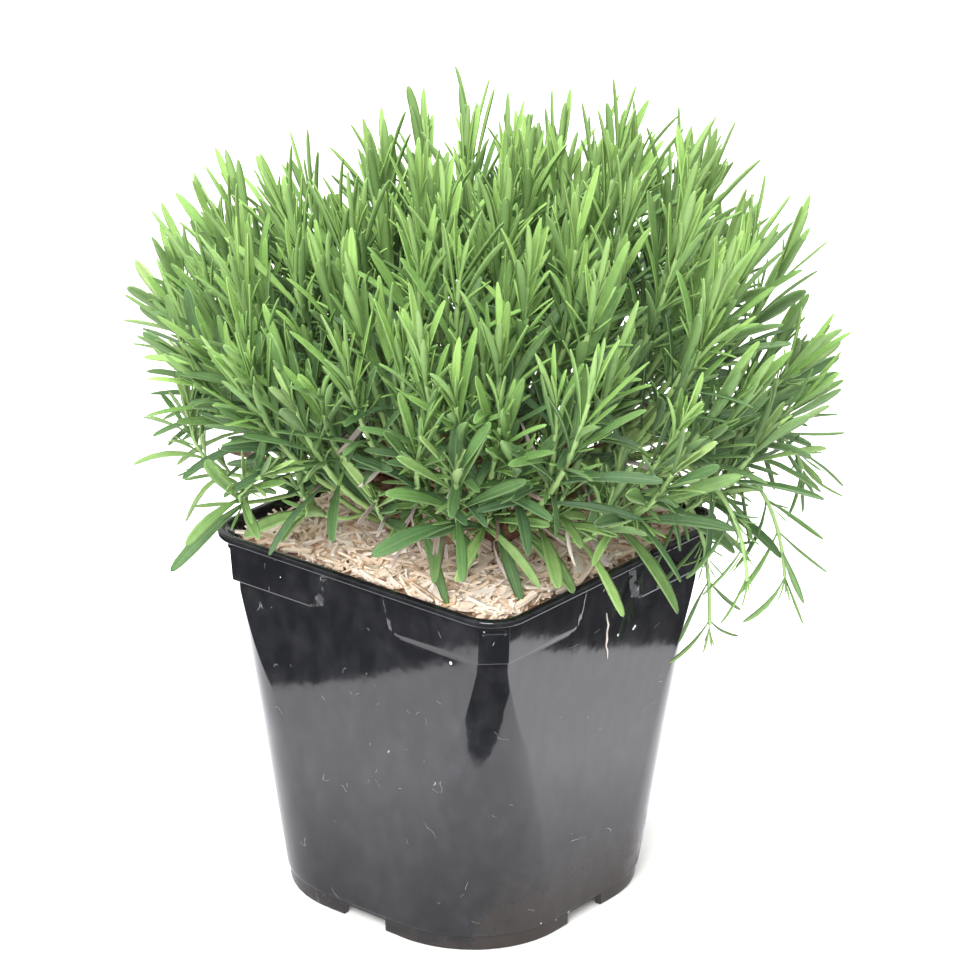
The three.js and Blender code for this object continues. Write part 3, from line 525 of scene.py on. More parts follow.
def dry_leaf():
    """A dead lavender leaf: papery, mottled, from dark brown to a pale lilac grey by its tone."""
    material, tree, at = new_material("dry_lavender_leaf")
    tone_and_shade = add(tree, "ShaderNodeAttribute", attribute_name="leaf_tone").outputs["Fac"]
    mottle = add(tree, "ShaderNodeTexNoise", {"Vector": at, "Scale": 400.0, "Detail": 5.0})
    mixed = add(tree, "ShaderNodeMath", {0: mottle, 1: 0.4, 2: tone_and_shade}, operation="MULTIPLY_ADD")
    colour = add(tree, "ShaderNodeValToRGB", {0: mixed}, stops=[
        (0.15, "#5f4a3c"), (0.55, "#92807a"), (0.8, "#a99c98"), (1.0, "#c3b8b0"),
    ])
    bump = add(tree, "ShaderNodeBump", {"Height": mottle, "Strength": 0.6, "Distance": 0.0003})
    add(tree, "ShaderNodeOutputMaterial", {"Surface": add(tree, "ShaderNodeBsdfPrincipled", {
        "Base Color": colour, "Roughness": 0.8, "Normal": bump,
    })})
    return material


def peat_compost():
    """Peat compost: matt, nearly black brown crumbs a millimetre or two across."""
    material, tree, at = new_material("peat_compost")
    crumbs = add(tree, "ShaderNodeTexVoronoi", {"Vector": at, "Scale": 550.0})
    fine = add(tree, "ShaderNodeTexNoise", {"Vector": at, "Scale": 900.0, "Detail": 5.0})
    colour = add(tree, "ShaderNodeValToRGB", {0: fine}, stops=[(0.3, "#1c120c"), (0.75, "#5a4130")])
    bump = add(tree, "ShaderNodeBump", {"Height": crumbs, "Strength": 0.9, "Distance": 0.001})
    add(tree, "ShaderNodeOutputMaterial", {"Surface": add(tree, "ShaderNodeBsdfPrincipled", {
        "Base Color": colour, "Roughness": 0.95, "Normal": bump,
    })})
    return material


def matt_paint(name, colour):
    """Matt painted board: a plain pale studio floor with the faintest roller texture."""
    material, tree, at = new_material(name)
    texture = add(tree, "ShaderNodeTexNoise", {"Vector": at, "Scale": 300.0, "Detail": 3.0})
    bump = add(tree, "ShaderNodeBump", {"Height": texture, "Strength": 0.1, "Distance": 0.0002})
    add(tree, "ShaderNodeOutputMaterial", {"Surface": add(tree, "ShaderNodeBsdfPrincipled", {
        "Base Color": colour, "Roughness": 0.9, "Normal": bump,
    })})
    return material


def light_card(name, near, far):
    """White light for a card, growing from near the pot to further out. A glow that is dimmer near the pot
    is a painted shadow of the pot.
    """
    material, tree, at = new_material(name)
    away = add(tree, "ShaderNodeVectorMath", {0: at}, operation="LENGTH").outputs["Value"]
    # Dimming near the pot paints the pot's shadow into the reflection.
    strength = add(tree, "ShaderNodeMapRange", {0: away, 1: 0.06, 2: 0.18, 3: near, 4: far})
    glow = add(tree, "ShaderNodeEmission", {"Color": (0.97, 0.965, 1.0, 1.0), "Strength": strength})
    add(tree, "ShaderNodeOutputMaterial", {"Surface": glow})
    return material


# ---------------------------------------------------------------- pot


def corner_columns():
    """Columns of a quarter turn, from the middle of one wall to the middle of the next.

    first and second are shares of the two straight stretches, and turn is the share of the corner
    between them. Columns crowd together where the corner panels end and at the foot's notches.
    """
    straight = np.concatenate([
        np.linspace(0, 0.2, 6)[:-1],
        np.linspace(0.2, 0.385, 30)[:-1],
        [0.385, 0.42, 0.46, 0.50, 0.535, 0.552, 0.559, 0.58, 0.64, 0.72, 0.80, 0.88, 0.94, 0.975, 0.992],
    ])
    corner = np.array([0.0, 0.025, 0.07, 0.14, 0.21, 0.29, 0.38, 0.46, 0.5])
    turn = np.concatenate([corner, 1 - corner[-2::-1]])
    ones = np.ones
    first = np.concatenate([straight, ones(len(turn)), ones(len(straight))])
    second = np.concatenate([ones(len(straight)), ones(len(turn)), straight[::-1]])
    turn = np.concatenate([np.zeros(len(straight)), turn, ones(len(straight))])
    return first[:-1], second[:-1], turn[:-1]


def square_turn(half, leg, roundness, z, columns):
    """Points round a square of half width half whose corners are cut by leg along both walls.

    In the first quarter: x = second s + leg cx, y = first s + leg cy, where s = half - leg, and
    (cx, cy) goes from (1, 0) to (0, 1) along a straight line or, at roundness 1, along an arc.
    """
    first, second, turn = columns
    cx = lerp(1 - turn, np.cos(turn * np.pi / 2), roundness)
    cy = lerp(turn, np.sin(turn * np.pi / 2), roundness)
    x = second * (half - leg) + leg * cx
    y = first * (half - leg) + leg * cy
    quarter = np.stack([x, y, np.broadcast_to(z, x.shape)], -1)
    quarters = [quarter]
    for _ in range(3):
        last = quarters[-1]
        quarters.append(np.stack([-last[..., 1], last[..., 0], last[..., 2]], -1))
    return np.concatenate(quarters, axis=1)


def wall_shape(z, inset=0.0):
    """Half width, corner leg and roundness of the tapering wall at heights z, inset from its face.

    A corner's middle stays inside the meeting of its walls by leg times cut, with cut 0.71 on a flat
    corner and 0.41 on an arc. The leg is the one that makes the line down that middle straight.
    """
    flat_cut, arc_cut = np.sqrt(0.5), np.sqrt(2) - 1
    half_at = lambda height: lerp(*BODY_HALF, (height - FLOOR_UNDERSIDE) / (BODY_TOP - FLOOR_UNDERSIDE))
    roundness = 1 - np.clip((z - ROUND_BELOW) / (FLAT_ABOVE - ROUND_BELOW), 0, 1)
    foot = np.sqrt(2) * half_at(FLOOR_UNDERSIDE) - CORNER_LEG[0] * arc_cut
    top = np.sqrt(2) * half_at(FLAT_ABOVE) - CORNER_LEG[1] * flat_cut
    middle = lerp(foot, top, (z - FLOOR_UNDERSIDE) / (FLAT_ABOVE - FLOOR_UNDERSIDE))
    leg = (np.sqrt(2) * half_at(z) - middle) / lerp(flat_cut, arc_cut, roundness)
    leg = np.where(z < FLAT_ABOVE, leg, CORNER_LEG[1])
    return half_at(z) - inset, leg - inset * lerp(2 - np.sqrt(2), 1, roundness), roundness


def profile_rows(*points, roundness=1):
    """Rows of half width, corner leg and height as columns half, leg, roundness and z."""
    half, leg, z = (np.array(value, float)[:, None] for value in zip(*points))
    return half, leg, roundness, z


def pot_body(columns):
    """The pot's rows from under its floor, round the foot, up the wall, over the lip and back in.

    A notch lifts the foot's rows in the middle of each wall. A corner panel stands out from the
    wall where the way from the wall's middle is longer than the gap's half width at that height.
    Rows crowd together at the panels' lower edge, at the mould mark and under the lip.
    """
    first, second, turn = columns
    away = np.where((turn > 0) & (turn < 1), 1.0, np.minimum(first, second))[None, :]

    # The floor's underside, the foot ring and the step from it out to the wall.
    floor = ((14, 9), (34, 22), (48, 32))
    outer, inner = np.array([FOOT_HALF, FOOT_LEG]), np.array([FOOT_HALF, FOOT_LEG]) - FOOT_RING
    half, leg, roundness, z = profile_rows(
        *((*row, FLOOR_UNDERSIDE) for row in floor), (*inner - 0.5, FLOOR_UNDERSIDE), (*inner, 6.1),
        (*inner, 3.0), (*inner, 0.4), (*inner + 0.4, 0.0), (*outer - 0.8, 0.0), (*outer - 0.3, 0.25),
        (*outer, 0.8), (*outer, 3.0), (*outer, 5.6), (*outer, 6.0),
    )
    notched = (away * (FOOT_HALF - FOOT_LEG) < NOTCH_HALF) & (z < FLOOR_UNDERSIDE)
    z = np.where(notched, lerp(NOTCH_HEIGHT, FLOOR_UNDERSIDE, z / FLOOR_UNDERSIDE), z)
    step = profile_rows((62.9, 43.1, 6.4), (63.7, 43.7, 6.6), (64.05, 44, 7.2))
    rows = [(half, leg, roundness, z), step]

    # The wall, with its collar panels, a mould mark on each corner and a fillet under the lip.
    z = np.concatenate([
        [8.2], np.linspace(12, 128, 26),
        [130, 132, 133.4, 133.9, 134.1, 134.3, 134.6, 135, 136, 138.5, 141, 143.5, 146],
        [147.1, 147.4, 147.7, 148.1, 148.5, 148.8, 149.1, 149.8, 150.5, 150.9, 151.2, 151.4],
    ])[:, None]
    half, leg, roundness = wall_shape(z)
    gap = COLLAR_GAP + 0.2 * (BODY_TOP - z) + 4.2 * np.clip((COLLAR_BOTTOM + 5 - z) / 5, 0, 1) ** 2.2
    panel = smooth(-COLLAR_EDGE, COLLAR_EDGE, away * (half - leg) - gap)
    panel = panel * smooth(COLLAR_BOTTOM - 0.15, COLLAR_BOTTOM + 0.2, z)
    bulge = 0.9 * np.clip((z - 135) / 16.5, 0, 1) - 0.4 * (1 - smooth(COLLAR_BOTTOM, COLLAR_BOTTOM + 0.8, z))
    mark = smooth(MARK_BOTTOM, MARK_BOTTOM + 0.3, z) * (1 - smooth(MARK_TOP - 0.3, MARK_TOP, z))
    mark = mark * smooth(0.1, 0.14, turn) * smooth(0.1, 0.14, 1 - turn)
    fillet = np.clip((z - LIP_UNDERSIDE + 0.7) / 0.7, 0, 1)
    half = half + panel * (COLLAR_HALF + bulge - half) + 0.45 * mark + 0.5 * fillet**2
    rows.append((half, leg, roundness, z))

    # The beaded lip, the wall's inner face and the floor.
    lip, leg, top, under = LIP_HALF, LIP_LEG, POT_HEIGHT, LIP_UNDERSIDE
    rows.append(profile_rows(
        (lip - 0.8, leg - 0.6, under + 0.02), (lip - 0.3, leg - 0.2, under + 0.12),
        (lip - 0.05, leg, under + 0.4), (lip, leg, under + 0.7), (lip, leg, top - 0.9),
        (lip - 0.08, leg, top - 0.55), (lip - 0.3, leg - 0.1, top - 0.25),
        (lip - 0.65, leg - 0.3, top - 0.06), (lip - 1.1, leg - 0.7, top), (lip - 2.5, leg - 2, top),
        (lip - 3, leg - 2.5, top - 0.1), (lip - 3.35, leg - 2.9, top - 0.45),
    ))
    z = np.array([150.5, 146, 140, 134, 125, 110, 88, 66, 45, 26, 12, 9.4])[:, None]
    rows.append((*wall_shape(z, WALL), z))
    rows.append(profile_rows(
        (62.1, 42.8, 8.7), (61.4, 42, FLOOR_TOP), *((*row, FLOOR_TOP) for row in floor[::-1])
    ))
    return np.concatenate([square_turn(*row, columns) for row in rows])


def drill_drains(pot):
    """Cuts the eight drainage holes through the floor with one Boolean, applied to the mesh."""
    drills = Skin()
    bottom, height = FLOOR_UNDERSIDE - 2, FLOOR_TOP - FLOOR_UNDERSIDE + 4.5
    middle = polar(np.tile(DRAIN_OUT, 4), np.arange(8) * np.pi / 4, bottom)
    ring = DRAIN_RADIUS * polar(1.0, np.linspace(0, 2 * np.pi, 24, endpoint=False), 0.0)
    grid = middle[:, None, None] + ring + np.array([0.0, height])[:, None, None] * UP
    drills.add(grid, middle, middle + height * UP, (0, 1))
    cutter = drills.make("drain_drills", [])
    cut = pot.modifiers.new("drains", "BOOLEAN")
    cut.object = cutter
    cut.operation = "DIFFERENCE"
    cut.solver = "EXACT"
    bpy.context.view_layer.update()
    drilled = bpy.data.meshes.new_from_object(pot.evaluated_get(bpy.context.evaluated_depsgraph_get()))
    pot.modifiers.clear()
    pot.data = drilled
    drilled.name = pot.name
    bpy.data.objects.remove(cutter)


# ---------------------------------------------------------------- shavings


def shavings_bed(columns):
    """The bed's rows: out over its underside, up its edge, and in over its uneven top.

    The top's height wanders by a sum of sines of x and y, about 1 mm each way.
    """
    low = [(share, BED_BOTTOM) for share in (0.5, 1.0)]
    high = [(share, BED_TOP) for share in (1.0, 0.97, 0.92, 0.85, 0.76, 0.66, 0.55, 0.44, 0.33, 0.22, 0.11)]
    share, z = (np.array(v)[:, None] for v in zip(*(low + high)))
    half, leg, roundness = wall_shape(z, WALL + CLEARANCE)
    rows = square_turn(half, leg, roundness, z, columns)
    rows[..., :2] *= share[..., None]
    x, y = rows[..., 0], rows[..., 1]
    wander = 0.6 * np.sin(x / 6.1 + 1.7) * np.sin(y / 7.3) + 0.5 * np.sin(x / 13 - y / 11)
    rows[..., 2] += wander * (rows[..., 2] > BED_BOTTOM + 1)
    return rows


def slivers(count):
    """Curled slivers of wood lying over the bed.

    The middle line of a sliver is an arc that curls up, its flat section turns as it runs, and both
    ends narrow by their own draw. Section corners: half width times the side, half thickness times
    the face.
    """
    n = np.arange(count)
    # One sliver in ten is a broad shaving, and one in four may lie steeper than the rest.
    kind = draw(n, 1)
    large = kind < 0.1
    length = np.where(large, lerp(10, 22, draw(n, 2)), lerp(3, 13, draw(n, 2)))
    width = np.where(large, lerp(1.8, 4.4, draw(n, 3) ** 1.3), lerp(0.5, 2.0, draw(n, 3) ** 1.5))
    thick = lerp(0.4, 1.2, draw(n, 4))
    heading = 2 * np.pi * draw(n, 5)
    tilt = np.radians(20) * sway(n, 6) * np.where(kind > 0.75, 1.6, 1.0)
    roll = np.radians(30) * sway(n, 7)
    curl = 0.32 * sway(n, 8) * np.minimum(1, 9 / length)
    twist = 0.3 * sway(n, 9)
    # They stay within the walls, keep clear of the cut corners and heap up a little at the edges.
    limit = wall_shape(np.array(BED_TOP), WALL)[0] - 0.8
    spread = 0.5 * length + 1
    room_x, room_y = limit - spread * abs(np.cos(heading)), limit - spread * abs(np.sin(heading))
    x, y = limit * sway(n, 10), limit * sway(n, 11)
    corner = np.maximum(0, abs(x) + abs(y) - (2 * limit - 9 - 0.5 * spread)) / 2
    x = np.clip(x - np.sign(x) * corner, -room_x, room_x)
    y = np.clip(y - np.sign(y) * corner, -room_y, room_y)
    heap = 1.6 * smooth(0.82, 1.0, np.maximum(abs(x), abs(y)) / limit)
    over = 0.2 + 1.9 * draw(n, 12) + heap + 0.35 * length * abs(np.sin(tilt))
    z = BED_TOP + np.minimum(over, 4.2)

    s = np.array([-1.0, -0.4, 0.4, 1.0])
    forward = np.stack([np.cos(heading) * np.cos(tilt), np.sin(heading) * np.cos(tilt), np.sin(tilt)], -1)
    level = np.stack([-np.sin(heading), np.cos(heading), np.zeros(count)], -1)
    rise = np.cross(forward, level)
    bend = curl[:, None] * s
    straight = abs(curl[:, None]) < 1e-3
    arc = np.where(straight, s, np.sin(bend) / np.where(straight, 1, curl[:, None]))
    line = forward[:, None] * arc[..., None]
    line = line + rise[:, None] * (0.5 * curl[:, None] * s**2)[..., None]
    middle = np.stack([x, y, z], -1)[:, None] + line * (length / 2)[:, None, None]
    angle = (roll[:, None] + twist[:, None] * s)[..., None]
    flat, face = turned(level[:, None], rise[:, None], angle)
    ends = lerp(0.3, 1.0, np.stack([draw(n, 13), draw(n, 14)], -1))
    narrow = np.stack([ends[:, 0], lerp(0.85, 1, ends[:, 0]), lerp(0.85, 1, ends[:, 1]), ends[:, 1]], -1)
    lean = 0.35 * sway(n[:, None], np.arange(len(s)), 15) * width[:, None]
    middle = middle + flat * (lean * (s**2))[..., None]
    side = np.array([1, -1, -1, 1]) * (width[:, None] / 2 * narrow)[..., None]
    up = np.array([1, 1, -1, -1]) * (thick[:, None] / 2 * np.ones(len(s)))[..., None]
    grid = middle[:, :, None] + flat[:, :, None] * side[..., None] + face[:, :, None] * up[..., None]
    return grid, middle[:, 0], middle[:, -1], (s + 1) / 2


def stuck_straw():
    """A splinter of straw that water has stuck to the wall facing +X, under the lip.

    Middle line through the points below; up to 0.9 mm wide along Y, thinner where it is frayed.
    """
    z = np.array([113.5, 117.0, 119.5, 122.0, 125.5, 128.3, 131.5, 134.0])
    y = np.array([3.4, 3.1, 1.9, 2.4, 2.0, 2.7, 1.5, 1.0])
    x = wall_shape(z)[0]
    width = np.array([0.2, 0.7, 0.4, 0.9, 0.5, 0.8, 0.4, 0.2]) / 2
    corner_x = x[:, None] + np.array([0.02, 0.35, 0.35, 0.02])
    corner_y = y[:, None] + width[:, None] * np.array([-1, -1, 1, 1])
    grid = np.stack([corner_x, corner_y, np.broadcast_to(z[:, None], corner_x.shape)], -1)
    ends = grid.mean(1)
    return grid[None], ends[:1], ends[-1:], np.linspace(0, 1, len(z))


# ---------------------------------------------------------------- axes of the shoots


def lean(azimuth):
    """1 on the side that the bush leans to, and -1 on the other side."""
    return np.cos(azimuth - LEAN_AZIMUTH)


def canopy_apex(rho, azimuth):
    """Height of the bush at a share rho of its radius: a flat dome that leans to one side, is lower
    at its back and has two humps. 232 + 58 root(1 - rho^4) + 16 across - 10 back + 6 cos(hump)."""
    across = rho * lean(azimuth)
    back = rho * np.maximum(0, np.sin(azimuth - LEAN_AZIMUTH))
    hump = np.cos((125 * across + 19) / 13.7)
    return 232 + 58 * np.sqrt(1 - rho**4) + 16 * across - 10 * back + 6 * hump


def shoot_table(number, azimuth, base, control, apex, levels, low=False, thin=False):
    """Many shoots as one table of arrays: a quadratic curve each, and how many pairs it has.

    A solid twig ends at base and its shoot sets out at foot, a small gap further on. Shoots of the
    skirt are low, hanging sprigs are thin, and turn is the way that the top pair of leaves faces.
    """
    count = len(number)
    spread = lambda value, kind: np.broadcast_to(np.asarray(value, kind), (count,)).copy()
    start = unit(control - base)
    return {
        "id": number, "azimuth": azimuth, "base": base, "foot": base + CLEARANCE * start, "start": start,
        "control": control, "apex": apex, "levels": spread(levels, int), "low": spread(low, bool),
        "thin": spread(thin, bool), "turn": 2 * np.pi * draw(number, 22),
    }


def joined(*tables):
    return {key: np.concatenate([table[key] for table in tables]) for key in tables[0]}


def solid_shoots():
    """The 52 shoots that the solids have: a canopy, a skirt over the lip and one hanging sprig."""
    i = np.arange(CANOPY_SHOOTS)
    rho = np.sqrt((i + 0.5) / CANOPY_SHOOTS)
    azimuth = i * GOLDEN_ANGLE + 0.1 * sway(i, 11)
    base = polar(58 * rho, azimuth, 178 + 30 * (1 - rho))
    apex = polar(125 * rho, azimuth + 0.12 * sway(i, 13), canopy_apex(rho, azimuth) + 8 * sway(i, 12))
    control = (base + apex) / 2 + polar(14 * rho, azimuth, -12 * rho)
    canopy = shoot_table(i, azimuth, base, control, apex, np.where(rho < 0.55, 4, 5))

    j = np.arange(SKIRT_SHOOTS)
    i = CANOPY_SHOOTS + j
    azimuth = (j + 0.5 + 0.25 * sway(i, 14)) * 2 * np.pi / SKIRT_SHOOTS
    away = (1 - lean(azimuth)) / 2
    reach = 114 + 6 * lean(azimuth)
    base = polar(50, azimuth, 169 + 6 * away)
    apex_z = 205 + 26 * away + 8 * sway(i, 17)
    apex = polar(reach + 7 * sway(i, 15), azimuth + 0.1 * sway(i, 16), apex_z)
    control = polar(reach - 16 - 10 * away, azimuth, 175 + 16 * away)
    skirt = shoot_table(i, azimuth, base, control, apex, 4, low=True)

    i = np.array([CANOPY_SHOOTS + SKIRT_SHOOTS])
    azimuth = np.radians([27.0])
    ends = polar(50, azimuth, 172), polar(97, azimuth, 200), polar(98, azimuth, 120)
    return joined(canopy, skirt, shoot_table(i, azimuth, *ends, 4, low=True, thin=True))


def upper_shoots(count):
    """A second canopy between the shoots of the first, and a little lower."""
    i = UPPER + np.arange(count)
    order = i - UPPER + 0.5
    rho = np.sqrt(order / count) * 0.96
    azimuth = order * GOLDEN_ANGLE + 0.9 + 0.2 * sway(i, 11)
    base = polar(52 * rho, azimuth, 182 + 30 * (1 - rho))
    apex = polar(118 * rho, azimuth + 0.15 * sway(i, 13), canopy_apex(rho, azimuth) - 28 * draw(i, 12))
    control = (base + apex) / 2 + polar(16 * rho, azimuth, -12 * rho)
    return shoot_table(i, azimuth, base, control, apex, 4)


def side_shoots(count):
    """A ring at mid height that spreads out to the sides."""
    i = SIDE + np.arange(count)
    azimuth = (i + 0.5 * sway(i, 14)) * 2 * np.pi / count
    out = 10 * np.maximum(0, lean(azimuth))
    lift = 8 * (1 - lean(azimuth))
    base = polar(44, azimuth, 172 + 8 * draw(i, 18))
    apex_z = 212 + lift + 28 * draw(i, 17)
    apex = polar(98 + out + 20 * draw(i, 15), azimuth + 0.12 * sway(i, 16), apex_z)
    control = polar(86 + out - lift / 2, azimuth, 178 + lift + 10 * draw(i, 19))
    return shoot_table(i, azimuth, base, control, apex, 4)


def heart_shoots(count):
    """Short shoots inside the bush."""
    i = HEART + np.arange(count)
    order = i - HEART + 0.5
    azimuth = order * GOLDEN_ANGLE
    rho = np.sqrt(order / count)
    base = polar(8 + 34 * rho, azimuth, 176 + 12 * draw(i, 18))
    apex = polar(14 + 62 * rho, azimuth + 0.2 * sway(i, 16), 206 + 34 * draw(i, 17))
    return shoot_table(i, azimuth, base, (base + apex) / 2 + polar(5, azimuth, -4), apex, 4)


def trailing_sprigs(count):
    """Thin sprigs that arch out on the side the bush leans to, and hang down past the lip."""
    i = TRAILING + np.arange(count)
    azimuth = LEAN_AZIMUTH + np.radians(34) * np.linspace(-1, 1, count)
    base = polar(56, azimuth, 186 + 12 * draw(i, 18))
    apex = polar(126 + 8 * draw(i, 15), azimuth + 0.2 * sway(i, 16), 132 + 54 * draw(i, 17))
    return shoot_table(i, azimuth, base, polar(122, azimuth, 206 + 14 * draw(i, 19)), apex, 4, thin=True)


def rim_sprigs(count):
    """Short sprigs that bend over the shavings and the lip.

    They stand closer together towards the front corner, which is 90 degrees clockwise from the
    lean, and a little to its right: azimuth = -40 + 180 t^1.6 degrees for even t. They stay near the
    axis there, so the shavings show. A sprig's curve passes through its knee halfway along.
    """
    i = RIM + np.arange(count)
    t = (2 * (i - RIM) + 1) / count - 1
    azimuth = np.radians(-40 + 180 * np.sign(t) * abs(t) ** 1.6) + 0.06 * sway(i, 11)
    off_corner = abs(np.arctan2(lean(azimuth), -np.sin(azimuth - LEAN_AZIMUTH)))
    radius = lerp(60, 90, smooth(0.2, 1.0, off_corner)) + 12 * sway(i, 12)
    height = 172 + 5 * (1 - lean(azimuth)) + 3 * sway(i, 13)
    base = polar(0.5 * radius, azimuth, height + 2)
    apex = polar(radius + 10 + 8 * draw(i, 15), azimuth + 0.3 * sway(i, 16), height + 20 + 12 * draw(i, 17))
    control = 2 * polar(radius, azimuth, height) - (base + apex) / 2
    return shoot_table(i, azimuth, base, control, apex, 4, low=True)


def rosettes(count):
    """Short shoots close over the shavings."""
    i = ROSETTE + np.arange(count)
    azimuth = (i + 0.6 * sway(i, 14)) * 2 * np.pi / count + 0.2
    base = polar(34, azimuth, 160 + 6 * draw(i, 18))
    apex = polar(60 + 26 * draw(i, 15), azimuth + 0.2 * sway(i, 16), 178 + 16 * draw(i, 17))
    return shoot_table(i, azimuth, base, polar(54, azimuth, 166), apex, 3, low=True)


def infill_shoots(settings):
    """All shoots that only the finish has."""
    return joined(
        upper_shoots(settings.upper_infill), side_shoots(settings.side_infill),
        heart_shoots(settings.heart_shoots), trailing_sprigs(settings.trailing),
        rim_sprigs(settings.rim_sprigs), rosettes(settings.rosettes),
    )


# ---------------------------------------------------------------- leaves


def combinations(*ranges):
    """Every combination of one number from each range, as one flat array for each range."""
    return [grid.ravel() for grid in np.meshgrid(*ranges, indexing="ij")]


def has_pair(shoots, shoot, pair):
    return pair <= STEPS_PER_PAIR * (shoots["levels"][shoot] - 1)


def pair_heights(shoots, shoot, pair):
    """Place of a pair on its stem. A pair that the solid has keeps the solid's own draw."""
    level = pair / STEPS_PER_PAIR
    own = np.where(pair % STEPS_PER_PAIR == 0, pair // STEPS_PER_PAIR, 100 + pair)
    return np.interp(level, range(5), PAIR_U) + 0.02 * sway(shoots["id"][shoot], own, 21)


def on_stem(shoots, shoot, u, turn):
    """Places at shares u of stems, which way each stem runs there, and the side that turn faces."""
    curve = (shoots[key][shoot] for key in ("foot", "control", "apex", "azimuth"))
    place, along, first, second = curve_frames(*curve, u)
    return place, along, turned(first, second, turn[:, None])[0]


def shaded(place):
    """1 in the heart of the bush, where the leaves' colour is darkened as painted shade, and 0 from 80 mm
    out or 250 mm up.
    """
    radius = np.linalg.norm(place[:, :2], axis=1)
    return (1 - smooth(30, 80, radius)) * (1 - smooth(205, 250, place[:, 2]))


def depth(place):
    """1 below 195 mm, where leaves are old, and 0 above 275 mm."""
    return 1 - smooth(195, 275, place[:, 2])


def main_leaves(shoots, settings):
    """The leaves of all pairs. Each pair is turned a quarter from the one below it, and the pairs
    between those of the solid miss a share of their leaves."""
    most = STEPS_PER_PAIR * (shoots["levels"].max() - 1) + 1
    shoot, pair, side = combinations(range(len(shoots["id"])), range(most), (0, 1))
    between = pair % STEPS_PER_PAIR != 0
    bare = np.where(shoots["thin"][shoot], 0.75, np.where(shoots["low"][shoot], 0.4, 0.12))
    keep = has_pair(shoots, shoot, pair)
    keep &= ~(between & (draw(shoots["id"][shoot], pair, side, 31) < bare))
    shoot, pair, side, between = shoot[keep], pair[keep], side[keep], between[keep]

    number, low, thin = (shoots[key][shoot] for key in ("id", "low", "thin"))
    level = pair / STEPS_PER_PAIR
    keys = (number, np.where(between, 100 + pair, pair // STEPS_PER_PAIR), side)
    # Leaves that no solid has stray further from the rule. Those of the sprigs over the rim are
    # longer, broader and younger and droop more towards the foot, where rim is 1.
    on_rim = number >= RIM
    rim = on_rim * np.clip(level / 3, 0, 1)
    loose = between | (number >= UPPER)
    shape = lambda values: np.interp(level, range(5), values)
    turn = shoots["turn"][shoot] + (pair % 2 + 2 * side) * np.pi / 2 + 0.25 * sway(*keys, 23)
    place, along, aside = on_stem(shoots, shoot, pair_heights(shoots, shoot, pair), turn)
    length = settings.leaf_length / MM * shape(PAIR_LENGTH) * (1 + 0.1 * sway(*keys, 24))
    length *= np.where(thin, 0.7, 1) * np.where(between, 0.68 + 0.3 * draw(*keys, 27), 1)
    length *= np.where(on_rim, lerp(0.6, 0.82, rim), 1)
    droop = shape(PAIR_DROOP) * np.where(low, 1.6, 1) + rim**2 * (0.1 + 0.5 * draw(*keys, 36))
    # Droop stretches a blade, so a leaf that droops much starts out shorter.
    length /= 1 + 0.75 * np.maximum(0, droop - 0.25)
    slenderness = settings.slenderness * np.where(thin, 0.8, np.where(low, 0.72, 1)) * (1 - 0.2 * rim)
    opening = shape(PAIR_OPEN) + 12 * low + 16 * thin + 8 * sway(*keys, 25) + 9 * loose * sway(*keys, 29)
    age = level / 4.4 + 0.2 * low + 0.3 * depth(place) - 0.5 * rim + (0.16 + 0.22 * low) * sway(*keys, 30)
    return {
        "shoot": shoot, "place": place, "along": along, "aside": aside, "length": length,
        "slenderness": slenderness * (1 + 0.18 * sway(*keys, 28)), "open": np.radians(opening),
        "bend": shape(PAIR_BEND) + (0.06 + 0.1 * loose + 0.2 * thin) * sway(*keys, 26),
        "sweep": (0.05 + 0.1 * loose) * sway(*keys, 35), "droop": droop, "age": np.clip(age, 0, 1),
        # The tone is a random draw less the painted shade of the bush's heart.
        "tone_and_shade": draw(*keys, 32) - shaded(place), "twist": 0.6 * sway(*keys, 33),
        "fold": 0.28 + 0.36 * draw(*keys, 34),
        "blunt": np.where(low, 0.95, np.clip(0.62 + 0.08 * level + 0.3 * sway(*keys, 37), 0, 1)),
    }


